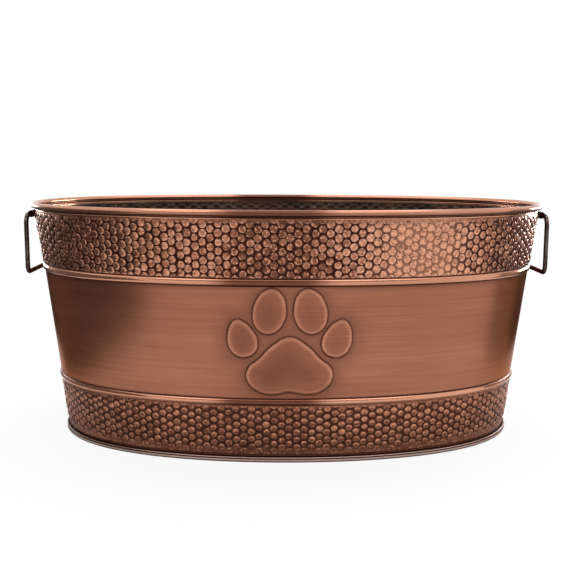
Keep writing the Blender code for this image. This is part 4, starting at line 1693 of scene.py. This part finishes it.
@dataclass(frozen=True)
class BasePan:
    """The raised floor with its skirt, folded round the walls' hooks as the foot ring."""

    tub: TubShape
    rise: float = 0.0080
    bend: float = 0.0012
    floor_lip: float = 0.003
    segments: int = 8
    crease: Lines = ((0.0022, 0.0), (0.0028, 0.00018), (0.0032, 0.0002), (0.0035, 0.0))
    seam_patina_and_shade: float = 0.0010
    # Dark lines of patina with painted shade in the crease; the line at the ring's foot is painted shade
    # where it meets the floor.
    ring_patina_and_shade: Lines = ((0.0034, 0.0015), (0.0, 0.0025))
    # Lighter copper for the foot ring: a painted highlight along it.
    ring_painted_highlight_bright: Colour = tint(240, 205, 190)
    ring_painted_highlight_body: Colour = tint(205, 160, 140)

    @property
    def floor(self) -> float:
        """The height of the floor's middle."""
        return self.rise + self.tub.sheet / 2

    def profile(self) -> Profile:
        """Draw the pan's middle line, from its floor's edge to the end of its fold.

        Returns:
            Its insets and heights.
        """
        tub = self.tub
        line, layer = tub.foot_line, tub.layer
        bend = line + layer + self.bend
        low = tub.sheet / 2 + layer
        fold = line - 2 * layer
        points = [(bend + self.floor_lip, self.floor)]
        points += arc((bend, self.floor - self.bend), self.bend, math.pi / 2, math.pi, self.segments)
        points += arc((line, low), layer, 0, -math.pi / 2, self.segments)
        points += arc((fold, low), layer, -math.pi / 2, -math.pi, self.segments)
        points += [(fold - layer + dent, rise) for rise, dent in self.crease]
        points += arc((fold, tub.hook_height), layer, math.pi, 0, 2 * self.segments)
        return points + [(line - layer, tub.foot_turn)]

    def make(self) -> None:
        """Make the pan."""
        tub = self.tub
        piece = swept_ring("base_pan_sheet", tub, self.profile())
        Bench.edit(piece, "DESELECT")
        bpy.ops.mesh.select_non_manifold(extend=False, use_multi_face=False, use_non_contiguous=False)
        Bench.close()
        edge = np.zeros(len(piece.data.vertices), dtype=bool)
        piece.data.vertices.foreach_get("select", edge)
        Bench.pick(piece, edge & (np.abs(Bench.read(piece)[:, 2] - self.floor) < MERGE))
        bpy.ops.mesh.edge_face_add()
        Bench.close()
        Bench.merge(piece, outward=True)
        Bench.apply(piece, "SOLIDIFY", thickness=tub.sheet, offset=0.0)
        for face in piece.data.polygons:
            face.material_index = int(face.center.z > tub.seam_height + tub.sheet)
        lines = ((tub.seam_height, self.seam_patina_and_shade), *self.ring_patina_and_shade)
        looks = {"bright": self.ring_painted_highlight_bright, "body": self.ring_painted_highlight_body, "patina_and_shade_lines": lines}
        ring = AntiqueCopper("base_pan_ring", roughness=0.2, rubbing=0.1, polish=0.5, **looks).make()
        Bench.finish(piece, "tub", "base_pan", "dull_copper", ring, DullCopper("base_pan_floor").make())


@dataclass(frozen=True)
class RimWire:
    """The wire inside the rolled rim."""

    tub: TubShape
    sides: int = 12

    def make(self) -> None:
        """Make the wire."""
        loop = arc(self.tub.roll_centre, self.tub.rim_wire / 2, 0, math.tau, self.sides)
        piece = swept_ring("rim_wire_ring", self.tub, loop)
        Bench.merge(piece, outward=True)
        Bench.finish(piece, "tub", "rim_wire", "oiled_steel", OiledSteel("rim_wire_ring").make())


@dataclass(frozen=True)
class EarAndHandle:
    """One drop handle, the curled ear that carries it and the ear's two rivets."""

    tub: TubShape
    side: Side
    wire: float = 0.0044
    width: float = 0.0824
    drop: float = 0.0553
    top_corner: float = 0.0090
    lower_corner: float = 0.0065
    end_gap: float = 0.0040
    corner_steps: int = 10
    wire_sides: int = 20
    ear_sheet: float = 0.0009
    ear_width: float = 0.0480
    pivot_drop: float = 0.0124
    plate_top_drop: float = 0.0200
    plate_foot_drop: float = 0.0320
    plate_rows: int = 6
    curl: float = math.radians(300)
    curl_steps: int = 26
    ear_columns: int = 20
    ear_round: float = 0.0002
    ear_sharp: float = math.radians(50)
    rivet_spacing: float = 0.0260
    rivet_drop: float = 0.0260
    rivet_head: float = 0.0080
    rivet_head_rise: float = 0.0022
    rivet_tail: float = 0.0066
    rivet_tail_rise: float = 0.0014
    rivet_shank: float = 0.0040
    rivet_sides: int = 32
    dome_steps: int = 8
    end_angle: float = 0.5
    tail_shares: Lines = ((1.0, 0.0), (0.95, 0.5), (0.8, 1.0), (0.0, 1.0))

    @property
    def word(self) -> str:
        """The side as a word in a piece's name."""
        return self.side.name.lower()

    @property
    def barrel(self) -> float:
        """The radius of the barrel's middle."""
        return self.wire / 2 + self.tub.gap + self.ear_sheet / 2

    @property
    def pivot(self) -> tuple[float, float]:
        """Find the line that the handle turns on.

        Returns:
            Its distance from the middle and its height.
        """
        height = self.tub.height - self.pivot_drop
        wall = float(self.tub.place(0.0, self.tub.outer(height), height)[0])
        return wall + self.tub.gap + self.ear_sheet / 2 + self.barrel, height

    def _turn(self, piece: Piece) -> None:
        """Turn a piece modelled at the right-hand end to its own end."""
        if self.side is Side.LEFT:
            Bench.write(piece, Bench.read(piece) * (-1, -1, 1))

    def ear(self) -> None:
        """Make the ear: a plate on the wall whose top is curled into a barrel."""
        tub = self.tub
        name = self.word + "_ear"
        seat = tub.gap + self.ear_sheet / 2
        edge = tub.reach_angle(self.ear_width / 2)
        angles = np.linspace(-edge, edge, self.ear_columns + 1)
        heights = tub.height - np.linspace(self.plate_foot_drop, self.plate_top_drop, self.plate_rows)
        reach, pivot_height = self.pivot
        plate = tub.place(angles[None, :], (tub.outer(heights) - seat)[:, None], heights[:, None])
        turns = math.pi - self.curl * np.arange(self.curl_steps + 1) / self.curl_steps
        across = np.broadcast_to(plate[-1, :, 1], (len(turns), len(angles)))
        out = np.broadcast_to((reach + self.barrel * np.cos(turns))[:, None], across.shape)
        up = np.broadcast_to((pivot_height + self.barrel * np.sin(turns))[:, None], across.shape)
        curled = np.stack((out, across, up), axis=-1)
        piece = grid(name + "_plate", np.concatenate((plate, curled), axis=0))
        Bench.apply(piece, "SOLIDIFY", thickness=self.ear_sheet, offset=0.0)
        sharp = {"limit_method": "ANGLE", "angle_limit": self.ear_sharp}
        Bench.apply(piece, "BEVEL", width=self.ear_round, segments=2, **sharp)
        self._turn(piece)
        Bench.finish(piece, "tub", name, "oiled_steel", OiledSteel(piece.name).make(), crease=35.0)

    def handle(self) -> None:
        """Bend the handle from one wire: extruded along its straight runs and spun round its corners."""
        half = self.width / 2
        tip = self.end_gap / 2
        name = self.word + "_handle"
        Bench.focus()
        bpy.ops.mesh.primitive_circle_add(
            vertices=self.wire_sides,
            radius=self.wire / 2,
            fill_type="NGON",
            location=(0, tip, 0),
            rotation=(math.pi / 2, 0, 0),
        )
        piece = Bench.take(name + "_wire")
        Bench.edit(piece)
        top, low = self.top_corner, self.lower_corner
        upright = self.drop - top - low
        runs = (
            ((0, half - tip - top, 0), (0, half - top, -top)),
            ((0, 0, -upright), (0, half - low, -self.drop + low)),
            ((0, -2 * (half - low), 0), (0, -half + low, -self.drop + low)),
            ((0, 0, upright), (0, -half + top, -top)),
        )
        for run, centre in runs:
            bpy.ops.mesh.extrude_region_move(TRANSFORM_OT_translate={"value": run})
            bpy.ops.mesh.spin(steps=self.corner_steps, angle=math.pi / 2, center=centre, axis=(1, 0, 0))
        bpy.ops.mesh.extrude_region_move(TRANSFORM_OT_translate={"value": (0, half - tip - top, 0)})
        Bench.close()
        Bench.merge(piece, outward=True)
        reach, height = self.pivot
        Bench.write(piece, Bench.read(piece) + (reach * self.side.value, 0, height))
        Bench.finish(piece, name, name, "oiled_steel", OiledSteel(piece.name, roughness=0.3).make())

    def _wall_frame(self, reach: float) -> Matrix:
        """Find the frame of the wall's outer face at a rivet.

        Args:
            reach: how far the rivet lies behind the middle of the end.

        Returns:
            The frame.
        """
        tub = self.tub
        height = tub.height - self.rivet_drop
        angles = np.linspace(-self.end_angle, self.end_angle, tub.samples)
        angle = float(np.interp(reach, tub.place(angles, tub.outer(height), height)[:, 1], angles))
        out_x, out_y = tub.normal(angle)
        steepness = (tub.shoulder_inset - tub.foot_inset) / (tub.shoulder - tub.seam_height)
        upward = Vector((-steepness * out_x, -steepness * out_y, 1)).normalized()
        along = Vector((-out_y, out_x, 0)).normalized()
        matrix = Matrix((along, upward, along.cross(upward).normalized())).transposed().to_4x4()
        matrix.translation = Vector(tub.place(angle, tub.outer(height), height))
        return matrix

    def rivets(self) -> None:
        """Turn the two rivets."""
        head_seat = self.tub.gap + self.ear_sheet + self.tub.gap
        tail_seat = -self.tub.sheet - self.tub.gap
        shank, head, tail = self.rivet_shank / 2, self.rivet_head / 2, self.rivet_tail / 2
        swings = [math.pi / 2 * step / self.dome_steps for step in range(self.dome_steps + 1)]
        dome = self.rivet_head_rise
        profile = [(head * math.sin(swing), head_seat + dome * math.cos(swing)) for swing in swings]
        profile += [(head, head_seat), (shank, head_seat), (shank, tail_seat)]
        profile += [(tail * out, tail_seat - self.rivet_tail_rise * down) for out, down in self.tail_shares]
        for end in (-1, 1):
            word = "front" if end * self.side.value < 0 else "rear"
            node = self.word + "_ear_" + word + "_rivet"
            Bench.focus()
            bpy.ops.mesh.primitive_plane_add(size=self.rivet_shank, location=(0, 0, profile[0][1]))
            piece = Bench.take(node + "_turned")
            Bench.edit(piece)
            bpy.ops.mesh.merge(type="CENTER")
            for (radius, height), (next_radius, next_height) in zip(profile, profile[1:]):
                step = (next_radius - radius, 0, next_height - height)
                bpy.ops.mesh.extrude_region_move(TRANSFORM_OT_translate={"value": step})
            bpy.ops.mesh.select_all(action="SELECT")
            bpy.ops.mesh.spin(steps=self.rivet_sides, angle=math.tau, center=(0, 0, 0), axis=(0, 0, 1))
            Bench.close()
            Bench.merge(piece, outward=True)
            piece.data.transform(self._wall_frame(end * self.rivet_spacing / 2))
            self._turn(piece)
            steel = OiledSteel(piece.name, roughness=0.32)
            Bench.finish(piece, "tub", node, "oiled_steel", steel.make(), crease=38.0)

    def make(self) -> None:
        """Make the ear, its rivets and its handle."""
        self.ear()
        self.rivets()
        self.handle()


@dataclass(frozen=True)
class PhotoCamera:
    """The camera, standing where the photograph was taken from."""

    place: Place = (-0.01554, -0.89117, 0.26926)
    focal_share: float = 876.6 / 576
    pitch: float = math.radians(8.356)
    roll: float = math.radians(0.262)
    heading: float = math.radians(-1.065)
    sensor: float = 36.0

    def make(self) -> None:
        """Make the camera and look through it."""
        data = bpy.data.cameras.new("photo_camera")
        data.sensor_width = self.sensor
        data.lens = self.focal_share * self.sensor
        camera = Bench.hang("photo_camera", data)
        turn = Matrix.Rotation(self.heading, 4, "Z")
        tilt = Matrix.Rotation(math.pi / 2 - self.pitch, 4, "X")
        roll = Matrix.Rotation(self.roll, 4, "Z")
        camera.matrix_world = Matrix.Translation(self.place) @ turn @ tilt @ roll
        bpy.context.scene.camera = camera


@dataclass(frozen=True)
class Lamp:
    """One soft lamp."""

    name: str
    place: Place
    aim: Place
    size: tuple[float, float]
    power: float

    def make(self) -> None:
        """Hang the lamp."""
        data = bpy.data.lights.new(self.name, "AREA")
        data.shape = "RECTANGLE"
        data.size, data.size_y = self.size
        data.energy = self.power
        lamp = Bench.hang(self.name, data)
        lamp.location = self.place
        lamp.rotation_euler = (Vector(self.aim) - Vector(self.place)).to_track_quat("-Z", "Y").to_euler()


def show_in_metal_only(card: Piece, level: float) -> None:
    """Give a card its matt grey and let nothing but polished metal see it.

    Args:
        card: the card.
        level: how light its grey is.
    """
    grey = NodeBook(bpy.data.materials.new(card.name))
    matte = {"Base_Color": (level, level, level, 1), "Roughness": 1.0, "Specular_IOR_Level": 0.0}
    card.data.materials.append(grey.paint(**matte))
    card.visible_camera = card.visible_shadow = card.visible_diffuse = False


@dataclass(frozen=True)
class Card:
    """One card, leaning slightly back, that darkens what the metal reflects."""

    name: str
    place: Place
    size: tuple[float, float]
    turn: float
    level: float
    lean: float = math.radians(72)

    def make(self) -> None:
        """Stand the card up."""
        Bench.focus()
        bpy.ops.mesh.primitive_plane_add(size=1.0)
        card = bpy.context.active_object
        card.scale = (*self.size, 1)
        card.rotation_euler = (self.lean, 0, self.turn)
        card.location = self.place
        show_in_metal_only(Bench.take(self.name), self.level)


@dataclass(frozen=True)
class Studio:
    """A plain pale floor, a white surround, soft lamps and dark cards that only the metal reflects."""

    floor_size: float = 9.0
    floor_drop: float = 0.0004
    ambient: float = 0.75
    glow_share: float = 0.86
    floor_colour: Colour = (0.9, 0.9, 0.9, 1)
    shadow_reach: float = 0.6
    lamps: tuple[Lamp, ...] = (
        Lamp("front_lamp", (0.0, -1.15, 1.55), (0, 0, 0.12), (2.6, 0.45), 9.0),
        Lamp("top_lamp", (0.0, 0.25, 1.9), (0, 0, 0.1), (1.8, 0.6), 9.0),
        Lamp("left_rear_lamp", (-0.90, 0.70, 0.26), (-0.2, 0, 0.2), (0.7, 0.13), 3.0),
        Lamp("right_rear_lamp", (0.90, 0.70, 0.26), (0.2, 0, 0.2), (0.8, 0.13), 10.0),
    )
    cards: tuple[Card, ...] = (
        Card("left_card", (-0.41, -0.14, 0.15), (0.48, 0.32), math.radians(90), 0.17),
        Card("right_card", (0.45, -0.02, 0.15), (0.16, 0.32), math.radians(-90), 0.34),
        Card("left_rear_card", (-0.45, 0.56, 0.07), (1.00, 0.15), math.radians(90), 0.05),
        Card("right_rear_card", (0.45, 0.56, 0.07), (1.00, 0.15), math.radians(-90), 0.05),
        Card("front_card", (0.0, -1.50, 1.20), (3.0, 1.70), 0.0, 0.5),
    )
    apron_reach: float = 0.085
    apron_level: float = 0.45
    apron_sides: int = 96

    def world(self) -> None:
        """Make the white surround."""
        world = bpy.data.worlds.new("surround")
        bpy.context.scene.world = world
        book = NodeBook(world)
        sockets = book.tree.nodes["Background"].inputs
        book.join(sockets["Color"], (1, 1, 1, 1))
        book.join(sockets["Strength"], book.span(book.seen(), 0.0, 1.0, self.ambient))

    def floor(self) -> None:
        """Make the floor, which keeps the bucket's shadow and fades to plain white away from it."""
        Bench.focus()
        bpy.ops.mesh.primitive_plane_add(size=self.floor_size, location=(0, 0, -self.floor_drop))
        floor = Bench.take("floor")
        book = NodeBook(bpy.data.materials.new("pale_floor"))
        book.tree.nodes.remove(book.tree.nodes["Principled BSDF"])
        matte = book.node("ShaderNodeBsdfDiffuse", None, {"Color": self.floor_colour})
        glow = book.node("ShaderNodeEmission")
        reach = book.node("ShaderNodeVectorMath", {"operation": "LENGTH"}, {0: book.place()}, "Value")
        far = book.span(reach, self.shadow_reach / 2, self.shadow_reach, self.glow_share)
        mixed = book.node("ShaderNodeMixShader", None, {0: book.seen() * far, 1: matte, 2: glow})
        book.join(book.tree.nodes["Material Output"].inputs["Surface"], mixed)
        floor.data.materials.append(book.owner)

    def apron(self) -> None:
        """Lay a dark apron round the foot, which only the metal reflects."""
        Bench.focus()
        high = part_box("base_pan")[1]
        bpy.ops.mesh.primitive_circle_add(vertices=self.apron_sides, radius=1.0, fill_type="NGON")
        apron = bpy.context.active_object
        apron.scale = (high[0] + self.apron_reach, high[1] + self.apron_reach, 1)
        apron.location = (0, 0, -self.floor_drop / 2)
        show_in_metal_only(Bench.take("apron"), self.apron_level)

    def make(self) -> None:
        """Set up the studio."""
        bpy.context.scene.view_settings.view_transform = "Standard"
        self.world()
        self.floor()
        for lamp in self.lamps:
            lamp.make()
        self.apron()
        for card in self.cards:
            card.make()


def main(upper_bead_drop: float = 0.0623, lower_bead_height: float = 0.0566) -> None:
    """Build the bucket and its studio.

    Args:
        upper_bead_drop: how far the upper bead lies under the rim's top.
        lower_bead_height: how high the lower bead lies.
    """
    logging.basicConfig(level=logging.INFO, format="%(name)s: %(message)s")
    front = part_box("front_wall")
    tub = TubShape(half_length=front[1].x, half_width=-front[0].y, height=front[1].z)
    beads = Bead(tub.height - upper_bead_drop), Bead(lower_bead_height)
    PhotoCamera().make()
    Studio().make()
    for seed, panel in enumerate(Panel):
        Wall(tub, panel, *beads, seed).make()
    BasePan(tub).make()
    RimWire(tub).make()
    for side in Side:
        EarAndHandle(tub, side).make()


if __name__ == "__main__":
    main()
